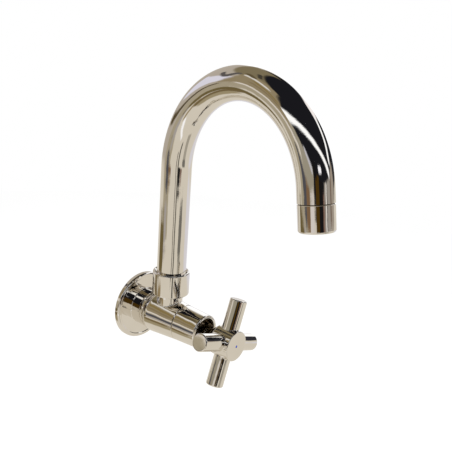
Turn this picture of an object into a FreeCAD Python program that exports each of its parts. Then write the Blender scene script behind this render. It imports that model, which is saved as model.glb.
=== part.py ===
import FreeCAD, Part
import math
import os

# Wall faucet with a swinging gooseneck spout and a cross handle.
# Millimetres. +Z is up, the wall is the plane y = 0 and the faucet stands out of it towards -Y.
# The origin is the centre of the flange's back face, on the axis of the valve body.
# A "station" is a distance along a piece's own axis: from the wall along the valve body,
# up the stem of the spout, and from the end of the spout's bend along its mouth.

# ---- clearances -------------------------------------------------------------------------------
RUNNING_GAP = 0.05
FREE_GAP = 0.3
CLOSE_GAP = 0.1

# ---- pipe threads, as plain cylinders at their major radius ---------------------------------------
THREAD_HALF_INCH = 10.48
THREAD_THREE_QUARTER = 13.22
THREAD_AERATOR = 11.0

# ---- wall flange ------------------------------------------------------------------------------
FLANGE_RADIUS = 30.5
FLANGE_LIP_DEPTH = 4.9
FLANGE_LIP_WIDTH = 3.2
FLANGE_CREASE_RADIUS = 16.3
FLANGE_CREASE_DEPTH = 5.2
FLANGE_CREASE_ROUNDING = 0.8
FLANGE_NECK_RADIUS = 16.9
FLANGE_SHEET = 1.6
FLANGE_BORE = THREAD_HALF_INCH + 0.42

# ---- valve body -------------------------------------------------------------------------------
BODY_BACK = 19.9
BODY_SHOULDER = 23.3
BODY_SHOULDER_RADIUS = 18.14
BODY_SHOULDER_ROUNDING = 9.6
BODY_HEEL_RADIUS = 16.6
BODY_HEEL_ROUNDING = 1.8
BODY_SEAM = 54.4
BODY_SEAM_RADIUS = 15.7
BODY_SPIGOT_END = 61.0
SEAM_CHAMFER = 0.25
SEAT_WALL_BACK = 28.8
SEAT_WALL_FRONT = 31.8
SEAT_PORT_RADIUS = 5.2

# ---- bonnet sleeve ------------------------------------------------------------------------------
SLEEVE_END = 79.0
SLEEVE_END_RADIUS = 14.6
SLEEVE_BORE = 12.1
SLEEVE_EDGE_ROUNDING = 0.9

# ---- inlet ------------------------------------------------------------------------------------
NIPPLE_BEHIND_WALL = 15.0
NIPPLE_FRONT = 27.0
NIPPLE_BORE = 6.2
NIPPLE_WAIST_RADIUS = 9.6
NIPPLE_WAIST_END = 13.2
NIPPLE_KEY_FLATS = 14.0
NIPPLE_KEY_DEPTH = 9.0

# ---- cartridge --------------------------------------------------------------------------------
CARTRIDGE_SKIRT_RADIUS = 8.9
CARTRIDGE_CHAMBER_RADIUS = 7.6
CARTRIDGE_BACK = 33.0
CARTRIDGE_THREAD_START = 47.0
CARTRIDGE_CHAMBER_END = 45.4
CARTRIDGE_HEAD_RADIUS = 11.8
CARTRIDGE_HEAD_END = 64.0
CARTRIDGE_HEX_FLATS = 17.0
CARTRIDGE_HEX_END = 69.0
CARTRIDGE_NECK_RADIUS = 6.8
CARTRIDGE_NECK_END = 73.6
DISC_THICKNESS = 3.0
DISC_BACK = 35.2
DISC_RADIUS = 7.4
DISC_PORT_INNER = 1.9
DISC_PORT_OUTER = 5.7
DISC_PORT_ANGLE = 78.0
DISC_LUG_WIDTH = 3.0
DRIVER_DEPTH = 1.2
DRIVER_WIDTH = 3.4
SPINDLE_RADIUS = 4.0
SPINDLE_HEAD_END = 44.6
SPINDLE_END = 92.6
SPLINE_START = 77.5
SPLINE_TEETH = 20
SPLINE_TOOTH_DEPTH = 0.4
SPINDLE_SEAL_STATIONS = (50.0, 55.5)

# ---- cross handle -----------------------------------------------------------------------------
HANDLE_TURN = 19.25
HANDLE_ARMS = 4
ARM_RADIUS = 7.1
ARM_LENGTH = 36.3
ARM_STATION = 102.5
ARM_END_ROUNDING = 1.0
HUB_RADIUS = 12.5
HUB_BACK = 94.2
HUB_FACE = 112.8
HUB_EDGE_ROUNDING = 0.7
ARM_FILLET = 0.6
HANDLE_NECK_BACK = 75.2
HANDLE_NECK_RADIUS = 6.0
HANDLE_NECK_FLARE_RADIUS = 7.0
HANDLE_NECK_FLARE_STATION = 88.0
HANDLE_BORE_END = 94.0
INDEX_DOT_RADIUS = 1.1
INDEX_DOT_DEPTH = 1.2
GRUB_STATION = 90.4
GRUB_RADIUS = 2.0
GRUB_LENGTH = 4.0

# ---- spout neck and collar --------------------------------------------------------------------
STEM_STATION = 36.9
NECK_RADIUS = 10.8
NECK_THREAD_START = 26.0
NECK_TOP = 34.0
NECK_FILLET = 1.2
NECK_WATERWAY = 5.5
NECK_SEAL_BORE = 8.55
NECK_SEAL_FLOOR = 20.4
COLLAR_RADIUS = 15.9
COLLAR_BOTTOM = 22.8
COLLAR_TOP = 43.3
COLLAR_LIP_BOTTOM = 38.3
COLLAR_RECESS_BOTTOM = 41.5
COLLAR_RECESS_RADIUS = 14.3
COLLAR_CHAMBER_RADIUS = 13.9

# ---- spout ------------------------------------------------------------------------------------
SPOUT_SWING = -8.5
TUBE_RADIUS = 12.5
TUBE_WALL = 1.2
TUBE_BOTTOM = 36.7
BEND_START = 132.8
BEND_RADIUS = 72.8
BEND_ANGLE = 169.3
MOUTH_STRAIGHT = 9.4
TAIL_FLANGE_RADIUS = 13.5
TAIL_BORE = 5.8
TAIL_SPIGOT_TOP = 46.7
TAIL_SEAL_STATIONS = (24.0, 29.8)

# ---- outlet -----------------------------------------------------------------------------------
GROOVE_WIDTH = 0.6
HOUSING_LENGTH = 18.2
HOUSING_RADIUS = 12.45
HOUSING_EDGE_ROUNDING = 1.5
HOUSING_MOUTH_RADIUS = 10.3
HOUSING_THREAD_LENGTH = 10.6
OUTLET_NIPPLE_THREAD = 7.6
OUTLET_NIPPLE_BORE = 9.3
INSERT_LENGTH = 6.4
SCREEN_THICKNESS = 0.4
SCREEN_HOLE_RADIUS = 0.55
SCREEN_HOLE_PITCH = 1.75
JET_RADIUS = 0.9
JET_PITCH = 2.7

X_AXIS = FreeCAD.Vector(1, 0, 0)
Y_AXIS = FreeCAD.Vector(0, 1, 0)
Z_AXIS = FreeCAD.Vector(0, 0, 1)
ORIGIN = FreeCAD.Vector(0, 0, 0)


# ---- shaping helpers --------------------------------------------------------------------------
def outline(corners):
    """Closed wire through (radius, station) corners; a third value rounds the corner."""
    points = [FreeCAD.Vector(corner[0], 0, corner[1]) for corner in corners]
    roundings = [corner[2] if len(corner) > 2 else 0.0 for corner in corners]
    count = len(points)
    arcs = []
    for index, corner in enumerate(points):
        rounding = roundings[index]
        if rounding == 0.0:
            arcs.append((corner, None, corner))
            continue
        to_last = (points[index - 1] - corner).normalize()
        to_next = (points[(index + 1) % count] - corner).normalize()
        half_angle = to_last.getAngle(to_next) / 2
        cut = rounding / math.tan(half_angle)
        bisector = (to_last + to_next).normalize()
        middle = corner + bisector * (rounding / math.sin(half_angle) - rounding)
        arcs.append((corner + to_last * cut, middle, corner + to_next * cut))
    edges = []
    for index, (start, middle, end) in enumerate(arcs):
        if middle is not None:
            edges.append(Part.Arc(start, middle, end).toShape())
        next_start = arcs[(index + 1) % count][0]
        if end.distanceToPoint(next_start) > 1e-6:
            edges.append(Part.LineSegment(end, next_start).toShape())
    return Part.Wire(edges)


def turned(corners):
    """Solid turned about its own Z axis from an outline of radii and stations."""
    return Part.Face(outline(corners)).revolve(ORIGIN, Z_AXIS, 360)


def ring(inner_radius, outer_radius, start, end):
    """Plain ring or tube from one station to another."""
    outer = Part.makeCylinder(outer_radius, end - start, FreeCAD.Vector(0, 0, start))
    return outer.cut(Part.makeCylinder(inner_radius, end - start, FreeCAD.Vector(0, 0, start)))


def seal_ring(centre_radius, section_radius, station):
    """Round-section rubber ring at a station."""
    return Part.makeTorus(centre_radius, section_radius, FreeCAD.Vector(0, 0, station))


def rim_point(radius, degrees, station):
    """Point on a circle about a piece's own axis."""
    angle = math.radians(degrees)
    return FreeCAD.Vector(radius * math.cos(angle), radius * math.sin(angle), station)


def hexagon_bar(flats, start, end):
    """Hexagonal bar, given across its flats."""
    corner_radius = flats / math.sqrt(3)
    corners = [rim_point(corner_radius, 60 * index, start) for index in range(7)]
    return Part.Face(Part.makePolygon(corners)).extrude(FreeCAD.Vector(0, 0, end - start))


def hexagonal_grid(limit, pitch):
    """Centres of a hexagonal pattern of holes within a circle."""
    centres = []
    rows = int(limit / pitch) + 1
    for row in range(-rows, rows + 1):
        for column in range(-rows, rows + 1):
            x = pitch * (column + 0.5 * row)
            y = pitch * row * math.sqrt(3) / 2
            if math.hypot(x, y) <= limit:
                centres.append((x, y))
    return centres


def perforated(plate, centres, hole_radius, start, end):
    """Plate with a through hole at each centre."""
    holes = [
        Part.makeCylinder(hole_radius, end - start, FreeCAD.Vector(x, y, start))
        for x, y in centres
    ]
    return plate.cut(Part.Compound(holes))


def sector_port(angle_middle, start, end):
    """Sector-shaped water port of a ceramic disc."""
    base = FreeCAD.Vector(0, 0, start)
    port = Part.makeCylinder(DISC_PORT_OUTER, end - start, base, Z_AXIS, DISC_PORT_ANGLE)
    port = port.cut(Part.makeCylinder(DISC_PORT_INNER, end - start, base))
    port.rotate(ORIGIN, Z_AXIS, angle_middle - DISC_PORT_ANGLE / 2)
    return port


# ---- placing helpers --------------------------------------------------------------------------
def on_body_axis(shape):
    """Turns a piece's own axis out of the wall, with its own Y axis up."""
    shape = shape.copy()
    shape.rotate(ORIGIN, X_AXIS, 90)
    return shape


def on_handle(shape):
    """Places a piece of the handle, which rests turned from the upright cross."""
    shape = shape.copy()
    shape.rotate(ORIGIN, Z_AXIS, -HANDLE_TURN)
    return on_body_axis(shape)


def on_stem(shape):
    """Stands a piece on the spout's stem axis."""
    shape = shape.copy()
    shape.translate(FreeCAD.Vector(0, -STEM_STATION, 0))
    return shape


def on_spout(shape):
    """Places a piece of the spout, whose own X axis runs from the stem to the mouth."""
    shape = shape.copy()
    shape.rotate(ORIGIN, Z_AXIS, SPOUT_SWING - 90)
    return on_stem(shape)


def on_mouth(shape):
    """Places a piece whose own axis leaves the end of the spout's bend through the mouth."""
    bend = math.radians(BEND_ANGLE)
    shape = shape.copy()
    shape.rotate(ORIGIN, Y_AXIS, BEND_ANGLE)
    reach = BEND_RADIUS * (1 - math.cos(bend))
    height = BEND_START + BEND_RADIUS * math.sin(bend)
    shape.translate(FreeCAD.Vector(reach, 0, height))
    return on_spout(shape)


# ---- wall flange and inlet ----------------------------------------------------------------------
def wall_flange():
    lip_inner = FLANGE_RADIUS - FLANGE_LIP_WIDTH
    step_depth = 0.5
    groove_radius = 12.3
    groove_back = 15.9
    groove_front = 18.1
    neck_back = 14.4
    outer = [
        (FLANGE_RADIUS, 0.0),
        (FLANGE_RADIUS, FLANGE_LIP_DEPTH, 1.9),
        (lip_inner, FLANGE_LIP_DEPTH, 0.4),
        (lip_inner - step_depth, FLANGE_LIP_DEPTH - step_depth),
        (FLANGE_CREASE_RADIUS, FLANGE_CREASE_DEPTH, FLANGE_CREASE_ROUNDING),
        (FLANGE_NECK_RADIUS, BODY_BACK),
    ]
    inner = [
        (FLANGE_BORE, BODY_BACK),
        (FLANGE_BORE, groove_front),
        (groove_radius, groove_front),
        (groove_radius, groove_back),
        (FLANGE_BORE, groove_back),
        (FLANGE_BORE, neck_back, 0.4),
        (FLANGE_CREASE_RADIUS - 2.6, neck_back, 1.0),
        (FLANGE_CREASE_RADIUS - FLANGE_SHEET, FLANGE_CREASE_DEPTH - FLANGE_SHEET, 0.8),
        (FLANGE_RADIUS - FLANGE_SHEET, FLANGE_LIP_DEPTH - FLANGE_SHEET - 0.4, 1.0),
        (FLANGE_RADIUS - FLANGE_SHEET, 0.0),
    ]
    return on_body_axis(turned(outer + inner))


def flange_o_ring():
    section = 0.88
    return on_body_axis(seal_ring(THREAD_HALF_INCH + 0.02 + section, section, 17.0))


def inlet_nipple():
    blank = turned([
        (NIPPLE_BORE, -NIPPLE_BEHIND_WALL, 0.3),
        (THREAD_HALF_INCH - 1.0, -NIPPLE_BEHIND_WALL),
        (THREAD_HALF_INCH, 1.0 - NIPPLE_BEHIND_WALL),
        (THREAD_HALF_INCH, 0.0),
        (NIPPLE_WAIST_RADIUS, 0.8),
        (NIPPLE_WAIST_RADIUS, NIPPLE_WAIST_END),
        (THREAD_HALF_INCH, NIPPLE_WAIST_END + 0.8),
        (THREAD_HALF_INCH, NIPPLE_FRONT - 0.8),
        (THREAD_HALF_INCH - 0.8, NIPPLE_FRONT),
        (NIPPLE_BORE, NIPPLE_FRONT),
    ])
    key_end = NIPPLE_KEY_DEPTH - NIPPLE_BEHIND_WALL
    key_socket = hexagon_bar(NIPPLE_KEY_FLATS, -NIPPLE_BEHIND_WALL, key_end)
    return on_body_axis(blank.cut(key_socket))


def inlet_washer():
    return on_body_axis(ring(NIPPLE_BORE + 0.6, THREAD_HALF_INCH - 0.1, NIPPLE_FRONT, SEAT_WALL_BACK))


# ---- valve body ---------------------------------------------------------------------------------
def valve_body():
    barrel = on_body_axis(turned([
        (0.0, BODY_BACK),
        (BODY_HEEL_RADIUS, BODY_BACK, BODY_HEEL_ROUNDING),
        (BODY_SHOULDER_RADIUS, BODY_SHOULDER, BODY_SHOULDER_ROUNDING),
        (BODY_SEAM_RADIUS + 0.02, BODY_SEAM - SEAM_CHAMFER),
        (BODY_SEAM_RADIUS - SEAM_CHAMFER, BODY_SEAM),
        (THREAD_THREE_QUARTER, BODY_SEAM),
        (THREAD_THREE_QUARTER, BODY_SPIGOT_END - 0.6),
        (THREAD_THREE_QUARTER - 0.6, BODY_SPIGOT_END),
        (0.0, BODY_SPIGOT_END),
    ]))
    neck = on_stem(turned([
        (0.0, 0.0),
        (NECK_RADIUS, 0.0),
        (NECK_RADIUS, NECK_THREAD_START, 0.6),
        (THREAD_THREE_QUARTER, NECK_THREAD_START),
        (THREAD_THREE_QUARTER, NECK_TOP - 0.6),
        (THREAD_THREE_QUARTER - 0.6, NECK_TOP),
        (0.0, NECK_TOP),
    ]))
    casting = barrel.fuse(neck).removeSplitter()
    casting = casting.makeFillet(NECK_FILLET, junction_edges(casting))
    inlet_bore = Part.makeCylinder(
        THREAD_HALF_INCH, SEAT_WALL_BACK - BODY_BACK, FreeCAD.Vector(0, 0, BODY_BACK)
    )
    seat_port = Part.makeCylinder(SEAT_PORT_RADIUS, 5, FreeCAD.Vector(0, 0, SEAT_WALL_BACK - 1))
    cartridge_bore = Part.makeCylinder(
        THREAD_HALF_INCH, BODY_SPIGOT_END - SEAT_WALL_FRONT, FreeCAD.Vector(0, 0, SEAT_WALL_FRONT)
    )
    waterway = on_stem(Part.makeCylinder(NECK_WATERWAY, NECK_TOP))
    seal_bore = on_stem(Part.makeCylinder(
        NECK_SEAL_BORE, NECK_TOP, FreeCAD.Vector(0, 0, NECK_SEAL_FLOOR)
    ))
    lead_in = on_stem(Part.makeCone(
        NECK_SEAL_BORE, NECK_SEAL_BORE + 0.8, 0.8, FreeCAD.Vector(0, 0, NECK_TOP - 0.8)
    ))
    bores = [on_body_axis(bore) for bore in (inlet_bore, seat_port, cartridge_bore)]
    return casting.cut(bores + [waterway, seal_bore, lead_in])


def junction_edges(casting):
    """The edges where the neck leaves the barrel."""
    found = []
    for edge in casting.Edges:
        box = edge.BoundBox
        on_barrel_top = BODY_SEAM_RADIUS * 0.6 < box.ZMin and box.ZMax < BODY_SHOULDER_RADIUS + 0.3
        around_stem = box.XLength > NECK_RADIUS and box.YLength > NECK_RADIUS
        if on_barrel_top and around_stem:
            found.append(edge)
    return found


def bonnet_sleeve():
    return on_body_axis(turned([
        (BODY_SEAM_RADIUS, BODY_SEAM, SLEEVE_EDGE_ROUNDING),
        (SLEEVE_END_RADIUS, SLEEVE_END, 1.2),
        (SLEEVE_BORE, SLEEVE_END, 0.8),
        (SLEEVE_BORE, BODY_SPIGOT_END + CLOSE_GAP),
        (THREAD_THREE_QUARTER, BODY_SPIGOT_END + CLOSE_GAP),
        (THREAD_THREE_QUARTER, BODY_SEAM),
    ]))


# ---- cartridge: the pieces that stay ----------------------------------------------------------------
def cartridge_body():
    shell = turned([
        (CARTRIDGE_CHAMBER_RADIUS, CARTRIDGE_BACK),
        (CARTRIDGE_SKIRT_RADIUS, CARTRIDGE_BACK, 0.4),
        (CARTRIDGE_SKIRT_RADIUS, CARTRIDGE_THREAD_START),
        (THREAD_HALF_INCH, CARTRIDGE_THREAD_START + 1.0),
        (THREAD_HALF_INCH, BODY_SPIGOT_END - 2.4),
        (THREAD_HALF_INCH - 1.6, BODY_SPIGOT_END - 2.4),
        (THREAD_HALF_INCH - 1.6, BODY_SPIGOT_END),
        (CARTRIDGE_HEAD_RADIUS, BODY_SPIGOT_END),
        (CARTRIDGE_HEAD_RADIUS, CARTRIDGE_HEAD_END, 0.5),
        (CARTRIDGE_NECK_RADIUS, CARTRIDGE_HEAD_END),
        (CARTRIDGE_NECK_RADIUS, CARTRIDGE_NECK_END, 0.4),
        (SPINDLE_RADIUS + RUNNING_GAP, CARTRIDGE_NECK_END),
        (SPINDLE_RADIUS + RUNNING_GAP, CARTRIDGE_CHAMBER_END),
        (CARTRIDGE_CHAMBER_RADIUS, CARTRIDGE_CHAMBER_END),
    ])
    hexagon = hexagon_bar(CARTRIDGE_HEX_FLATS, CARTRIDGE_HEAD_END, CARTRIDGE_HEX_END)
    hexagon = hexagon.cut(Part.makeCylinder(CARTRIDGE_NECK_RADIUS, CARTRIDGE_HEX_END))
    shell = shell.fuse(hexagon).removeSplitter()
    water_window = Part.makeBox(
        3 * CARTRIDGE_SKIRT_RADIUS, 8.4, 4.6,
        FreeCAD.Vector(-1.5 * CARTRIDGE_SKIRT_RADIUS, -4.2, DISC_BACK + DISC_THICKNESS + 1.3),
    )
    lug_slot = Part.makeBox(
        DISC_LUG_WIDTH, 3 * CARTRIDGE_SKIRT_RADIUS, DISC_BACK + DISC_THICKNESS - CARTRIDGE_BACK,
        FreeCAD.Vector(-DISC_LUG_WIDTH / 2, -1.5 * CARTRIDGE_SKIRT_RADIUS, CARTRIDGE_BACK),
    )
    return on_body_axis(shell.cut([water_window, lug_slot]))


def cartridge_body_o_ring():
    section = 0.78
    centre_radius = THREAD_HALF_INCH - 1.6 + 0.02 + section
    return on_body_axis(seal_ring(centre_radius, section, BODY_SPIGOT_END - 1.2))


def cartridge_fixed_disc():
    disc = Part.makeCylinder(DISC_RADIUS, DISC_THICKNESS, FreeCAD.Vector(0, 0, DISC_BACK))
    lugs = Part.makeBox(
        DISC_LUG_WIDTH - CLOSE_GAP, 2 * (CARTRIDGE_SKIRT_RADIUS - 0.4), DISC_THICKNESS,
        FreeCAD.Vector(-(DISC_LUG_WIDTH - CLOSE_GAP) / 2, 0.4 - CARTRIDGE_SKIRT_RADIUS, DISC_BACK),
    )
    ports = [sector_port(middle, DISC_BACK, DISC_BACK + DISC_THICKNESS) for middle in (0, 180)]
    return on_body_axis(disc.fuse(lugs).removeSplitter().cut(ports))


def cartridge_seat_seal():
    return on_body_axis(turned([
        (SEAT_PORT_RADIUS + 0.4, SEAT_WALL_FRONT),
        (SEAT_PORT_RADIUS + 2.2, SEAT_WALL_FRONT, 0.4),
        (SEAT_PORT_RADIUS + 2.2, DISC_BACK),
        (SEAT_PORT_RADIUS + 0.6, DISC_BACK),
    ]))


# ---- cartridge: the pieces that turn with the handle ------------------------------------------------
def cartridge_moving_disc():
    back = DISC_BACK + DISC_THICKNESS
    disc = Part.makeCylinder(DISC_RADIUS, DISC_THICKNESS, FreeCAD.Vector(0, 0, back))
    ports = [sector_port(middle, back, back + DISC_THICKNESS) for middle in (90, 270)]
    driver_slot = Part.makeBox(
        2 * DISC_RADIUS, DRIVER_WIDTH, DRIVER_DEPTH,
        FreeCAD.Vector(-DISC_RADIUS, -DRIVER_WIDTH / 2, back + DISC_THICKNESS - DRIVER_DEPTH),
    )
    return on_body_axis(disc.cut(ports + [driver_slot]))


def spindle_groove(station, depth_radius, half_width):
    """Ring to cut a groove into the spindle."""
    return ring(depth_radius, SPINDLE_RADIUS + 1.0, station - half_width, station + half_width)


def spline_bar(tip_radius, root_radius, start, end):
    """Toothed bar with flat-topped teeth."""
    tooth_outline = (
        (0.0, root_radius),
        (0.2, root_radius),
        (0.45, tip_radius),
        (0.75, tip_radius),
    )
    corners = []
    for tooth in range(SPLINE_TEETH):
        for share, radius in tooth_outline:
            corners.append(rim_point(radius, 360 * (tooth + share) / SPLINE_TEETH, start))
    corners.append(corners[0])
    return Part.Face(Part.makePolygon(corners)).extrude(FreeCAD.Vector(0, 0, end - start))


def cartridge_spindle():
    moving_front = DISC_BACK + 2 * DISC_THICKNESS
    root_radius = SPINDLE_RADIUS - SPLINE_TOOTH_DEPTH
    shaft = turned([
        (0.0, moving_front),
        (CARTRIDGE_CHAMBER_RADIUS - FREE_GAP, moving_front),
        (CARTRIDGE_CHAMBER_RADIUS - FREE_GAP, SPINDLE_HEAD_END, 0.4),
        (SPINDLE_RADIUS, SPINDLE_HEAD_END),
        (SPINDLE_RADIUS, SPLINE_START - 1.0),
        (root_radius, SPLINE_START - 0.6),
        (root_radius, SPLINE_START),
        (0.0, SPLINE_START),
    ])
    spline = spline_bar(SPINDLE_RADIUS, root_radius, SPLINE_START, SPINDLE_END)
    spline.rotate(ORIGIN, Z_AXIS, -HANDLE_TURN)
    driver = Part.makeBox(
        1.6 * DISC_RADIUS, DRIVER_WIDTH - CLOSE_GAP, DRIVER_DEPTH,
        FreeCAD.Vector(-0.8 * DISC_RADIUS, (CLOSE_GAP - DRIVER_WIDTH) / 2, moving_front - DRIVER_DEPTH),
    )
    shaft = shaft.fuse([spline, driver])
    grooves = [spindle_groove(station, 2.9, 1.0) for station in SPINDLE_SEAL_STATIONS]
    grooves.append(spindle_groove(CARTRIDGE_NECK_END + 0.7, 3.3, 0.5))
    return on_body_axis(shaft.cut(grooves))


def spindle_o_rings():
    section = 0.54
    centre_radius = SPINDLE_RADIUS - section
    rings = [seal_ring(centre_radius, section, station) for station in SPINDLE_SEAL_STATIONS]
    return on_body_axis(Part.Compound(rings))


def spindle_thrust_washer():
    rim = CARTRIDGE_CHAMBER_RADIUS - FREE_GAP
    front = CARTRIDGE_CHAMBER_END - CLOSE_GAP
    return on_body_axis(ring(SPINDLE_RADIUS, rim, SPINDLE_HEAD_END, front))


def spindle_circlip():
    station = CARTRIDGE_NECK_END + 0.7
    clip = ring(3.3, 5.1, station - 0.4, station + 0.4)
    opening = Part.makeBox(6, 2.4, 2, FreeCAD.Vector(0, -1.2, station - 1))
    return on_body_axis(clip.cut(opening))


# ---- cross handle -------------------------------------------------------------------------------
def cross_handle():
    hub = turned([
        (0.0, HANDLE_NECK_BACK),
        (HANDLE_NECK_RADIUS, HANDLE_NECK_BACK, 0.5),
        (HANDLE_NECK_RADIUS, HANDLE_NECK_FLARE_STATION - 4.5, 3.0),
        (HANDLE_NECK_FLARE_RADIUS, HANDLE_NECK_FLARE_STATION, 3.0),
        (HUB_RADIUS, HUB_BACK, 1.6),
        (HUB_RADIUS, HUB_FACE, HUB_EDGE_ROUNDING),
        (0.0, HUB_FACE),
    ])
    arm = turned([
        (0.0, 0.0),
        (ARM_RADIUS, 0.0),
        (ARM_RADIUS, ARM_LENGTH, ARM_END_ROUNDING),
        (0.0, ARM_LENGTH),
    ])
    arm.rotate(ORIGIN, X_AXIS, -90)
    arm.translate(FreeCAD.Vector(0, 0, ARM_STATION))
    arms = []
    for index in range(HANDLE_ARMS):
        turned_arm = arm.copy()
        turned_arm.rotate(ORIGIN, Z_AXIS, 360 * index / HANDLE_ARMS)
        arms.append(turned_arm)
    cross = hub.fuse(arms).removeSplitter()
    cross = cross.makeFillet(ARM_FILLET, arm_root_edges(cross))
    bore = spline_bar(
        SPINDLE_RADIUS + RUNNING_GAP, SPINDLE_RADIUS - SPLINE_TOOTH_DEPTH + RUNNING_GAP,
        SPLINE_START - CLOSE_GAP, HANDLE_BORE_END,
    )
    bore_mouth = Part.makeCylinder(
        SPINDLE_RADIUS + CLOSE_GAP, SPLINE_START - HANDLE_NECK_BACK,
        FreeCAD.Vector(0, 0, HANDLE_NECK_BACK),
    )
    dot_hole = Part.makeCylinder(
        INDEX_DOT_RADIUS, INDEX_DOT_DEPTH, FreeCAD.Vector(0, 0, HUB_FACE - INDEX_DOT_DEPTH)
    )
    return on_handle(cross.cut([bore, bore_mouth, dot_hole, grub_bar(GRUB_RADIUS, HUB_RADIUS)]))


def arm_root_edges(cross):
    """The edges where the arms leave the hub."""
    found = []
    for edge in cross.Edges:
        distances = [
            math.hypot(point.x, point.y) - HUB_RADIUS
            for point in edge.discretize(7)
        ]
        heights = [abs(point.z - ARM_STATION) for point in edge.discretize(7)]
        on_hub_side = max(abs(distance) for distance in distances) < 0.01
        if on_hub_side and max(heights) < ARM_RADIUS + 0.01:
            found.append(edge)
    return found


def grub_bar(radius, end_radius):
    """Bar from the spindle out through the back of the hub, in the gap between two arms."""
    start = FreeCAD.Vector(0, SPINDLE_RADIUS, 0)
    bar = Part.makeCylinder(radius, end_radius - SPINDLE_RADIUS, start, Y_AXIS)
    bar.translate(FreeCAD.Vector(0, 0, GRUB_STATION))
    bar.rotate(ORIGIN, Z_AXIS, -135)
    return bar


def handle_grub_screw():
    face = SPINDLE_RADIUS + GRUB_LENGTH
    screw = grub_bar(GRUB_RADIUS, face)
    socket = hexagon_bar(2.0, face - 2.0, face + 1.0)
    socket.rotate(ORIGIN, X_AXIS, -90)
    socket.translate(FreeCAD.Vector(0, 0, GRUB_STATION))
    socket.rotate(ORIGIN, Z_AXIS, -135)
    return on_handle(screw.cut(socket))


def handle_index_dot():
    base = FreeCAD.Vector(0, 0, HUB_FACE - INDEX_DOT_DEPTH)
    return on_handle(Part.makeCylinder(INDEX_DOT_RADIUS, INDEX_DOT_DEPTH - 0.05, base))


# ---- spout collar -------------------------------------------------------------------------------
def spout_collar():
    return on_stem(turned([
        (THREAD_THREE_QUARTER, COLLAR_BOTTOM, 0.4),
        (COLLAR_RADIUS, COLLAR_BOTTOM, 1.0),
        (COLLAR_RADIUS, COLLAR_TOP, 1.3),
        (COLLAR_RECESS_RADIUS, COLLAR_TOP),
        (TUBE_RADIUS + FREE_GAP, COLLAR_RECESS_BOTTOM),
        (TUBE_RADIUS + FREE_GAP, COLLAR_LIP_BOTTOM),
        (COLLAR_CHAMBER_RADIUS, COLLAR_LIP_BOTTOM),
        (COLLAR_CHAMBER_RADIUS, NECK_TOP),
        (THREAD_THREE_QUARTER, NECK_TOP),
    ]))


def collar_slip_ring():
    bottom = TUBE_BOTTOM + CLOSE_GAP
    return on_stem(ring(TUBE_RADIUS + FREE_GAP, COLLAR_CHAMBER_RADIUS, bottom, COLLAR_LIP_BOTTOM))


# ---- spout ------------------------------------------------------------------------------------
def spout_tail():
    groove_depth_radius = 6.5
    plug_radius = NECK_SEAL_BORE - RUNNING_GAP
    blank = turned([
        (TAIL_BORE, NECK_SEAL_FLOOR + 0.4),
        (plug_radius, NECK_SEAL_FLOOR + 0.4, 0.6),
        (plug_radius, NECK_TOP + CLOSE_GAP),
        (TAIL_FLANGE_RADIUS, NECK_TOP + CLOSE_GAP, 0.3),
        (TAIL_FLANGE_RADIUS, TUBE_BOTTOM, 0.3),
        (TUBE_RADIUS - TUBE_WALL, TUBE_BOTTOM),
        (TUBE_RADIUS - TUBE_WALL, TAIL_SPIGOT_TOP, 0.4),
        (TAIL_BORE + 3.0, TAIL_SPIGOT_TOP),
        (TAIL_BORE, TAIL_SPIGOT_TOP - 4.0),
    ])
    grooves = [
        ring(groove_depth_radius, plug_radius + 1.0, station - 1.25, station + 1.25)
        for station in TAIL_SEAL_STATIONS
    ]
    return on_spout(blank.cut(grooves))


def spout_o_rings():
    section = 1.0
    centre_radius = NECK_SEAL_BORE - RUNNING_GAP - section
    rings = [seal_ring(centre_radius, section, station) for station in TAIL_SEAL_STATIONS]
    return on_spout(Part.Compound(rings))


def spout_tube():
    section = ring(TUBE_RADIUS - TUBE_WALL, TUBE_RADIUS, TUBE_BOTTOM, BEND_START)
    circles = [
        Part.Wire(Part.makeCircle(radius, FreeCAD.Vector(0, 0, BEND_START)))
        for radius in (TUBE_RADIUS, TUBE_RADIUS - TUBE_WALL)
    ]
    bend_axis = FreeCAD.Vector(BEND_RADIUS, 0, BEND_START)
    bend = Part.Face(circles).revolve(bend_axis, Y_AXIS, BEND_ANGLE)
    straight = on_mouth(ring(TUBE_RADIUS - TUBE_WALL, TUBE_RADIUS, 0, MOUTH_STRAIGHT))
    return on_spout(section).fuse([on_spout(bend), straight]).removeSplitter()


# ---- outlet -----------------------------------------------------------------------------------
def outlet_nipple():
    shoulder = MOUTH_STRAIGHT + GROOVE_WIDTH
    return on_mouth(turned([
        (OUTLET_NIPPLE_BORE, 1.4),
        (TUBE_RADIUS - TUBE_WALL, 1.4),
        (TUBE_RADIUS - TUBE_WALL, MOUTH_STRAIGHT),
        (TUBE_RADIUS - TUBE_WALL + 0.4, MOUTH_STRAIGHT),
        (TUBE_RADIUS - TUBE_WALL + 0.4, shoulder),
        (THREAD_AERATOR, shoulder),
        (THREAD_AERATOR, shoulder + OUTLET_NIPPLE_THREAD),
        (OUTLET_NIPPLE_BORE, shoulder + OUTLET_NIPPLE_THREAD),
    ]))


def aerator_housing():
    top = MOUTH_STRAIGHT + GROOVE_WIDTH
    seat = top + HOUSING_THREAD_LENGTH
    bottom = top + HOUSING_LENGTH
    return on_mouth(turned([
        (THREAD_AERATOR, top),
        (HOUSING_RADIUS - 0.3, top),
        (HOUSING_RADIUS, top + 0.3),
        (HOUSING_RADIUS, bottom, HOUSING_EDGE_ROUNDING),
        (HOUSING_MOUTH_RADIUS, bottom, 0.4),
        (HOUSING_MOUTH_RADIUS, seat),
        (THREAD_AERATOR, seat),
    ]))


def aerator_washer():
    back = MOUTH_STRAIGHT + GROOVE_WIDTH + OUTLET_NIPPLE_THREAD
    return on_mouth(ring(OUTLET_NIPPLE_BORE, THREAD_AERATOR - CLOSE_GAP, back, back + 1.5))


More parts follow.
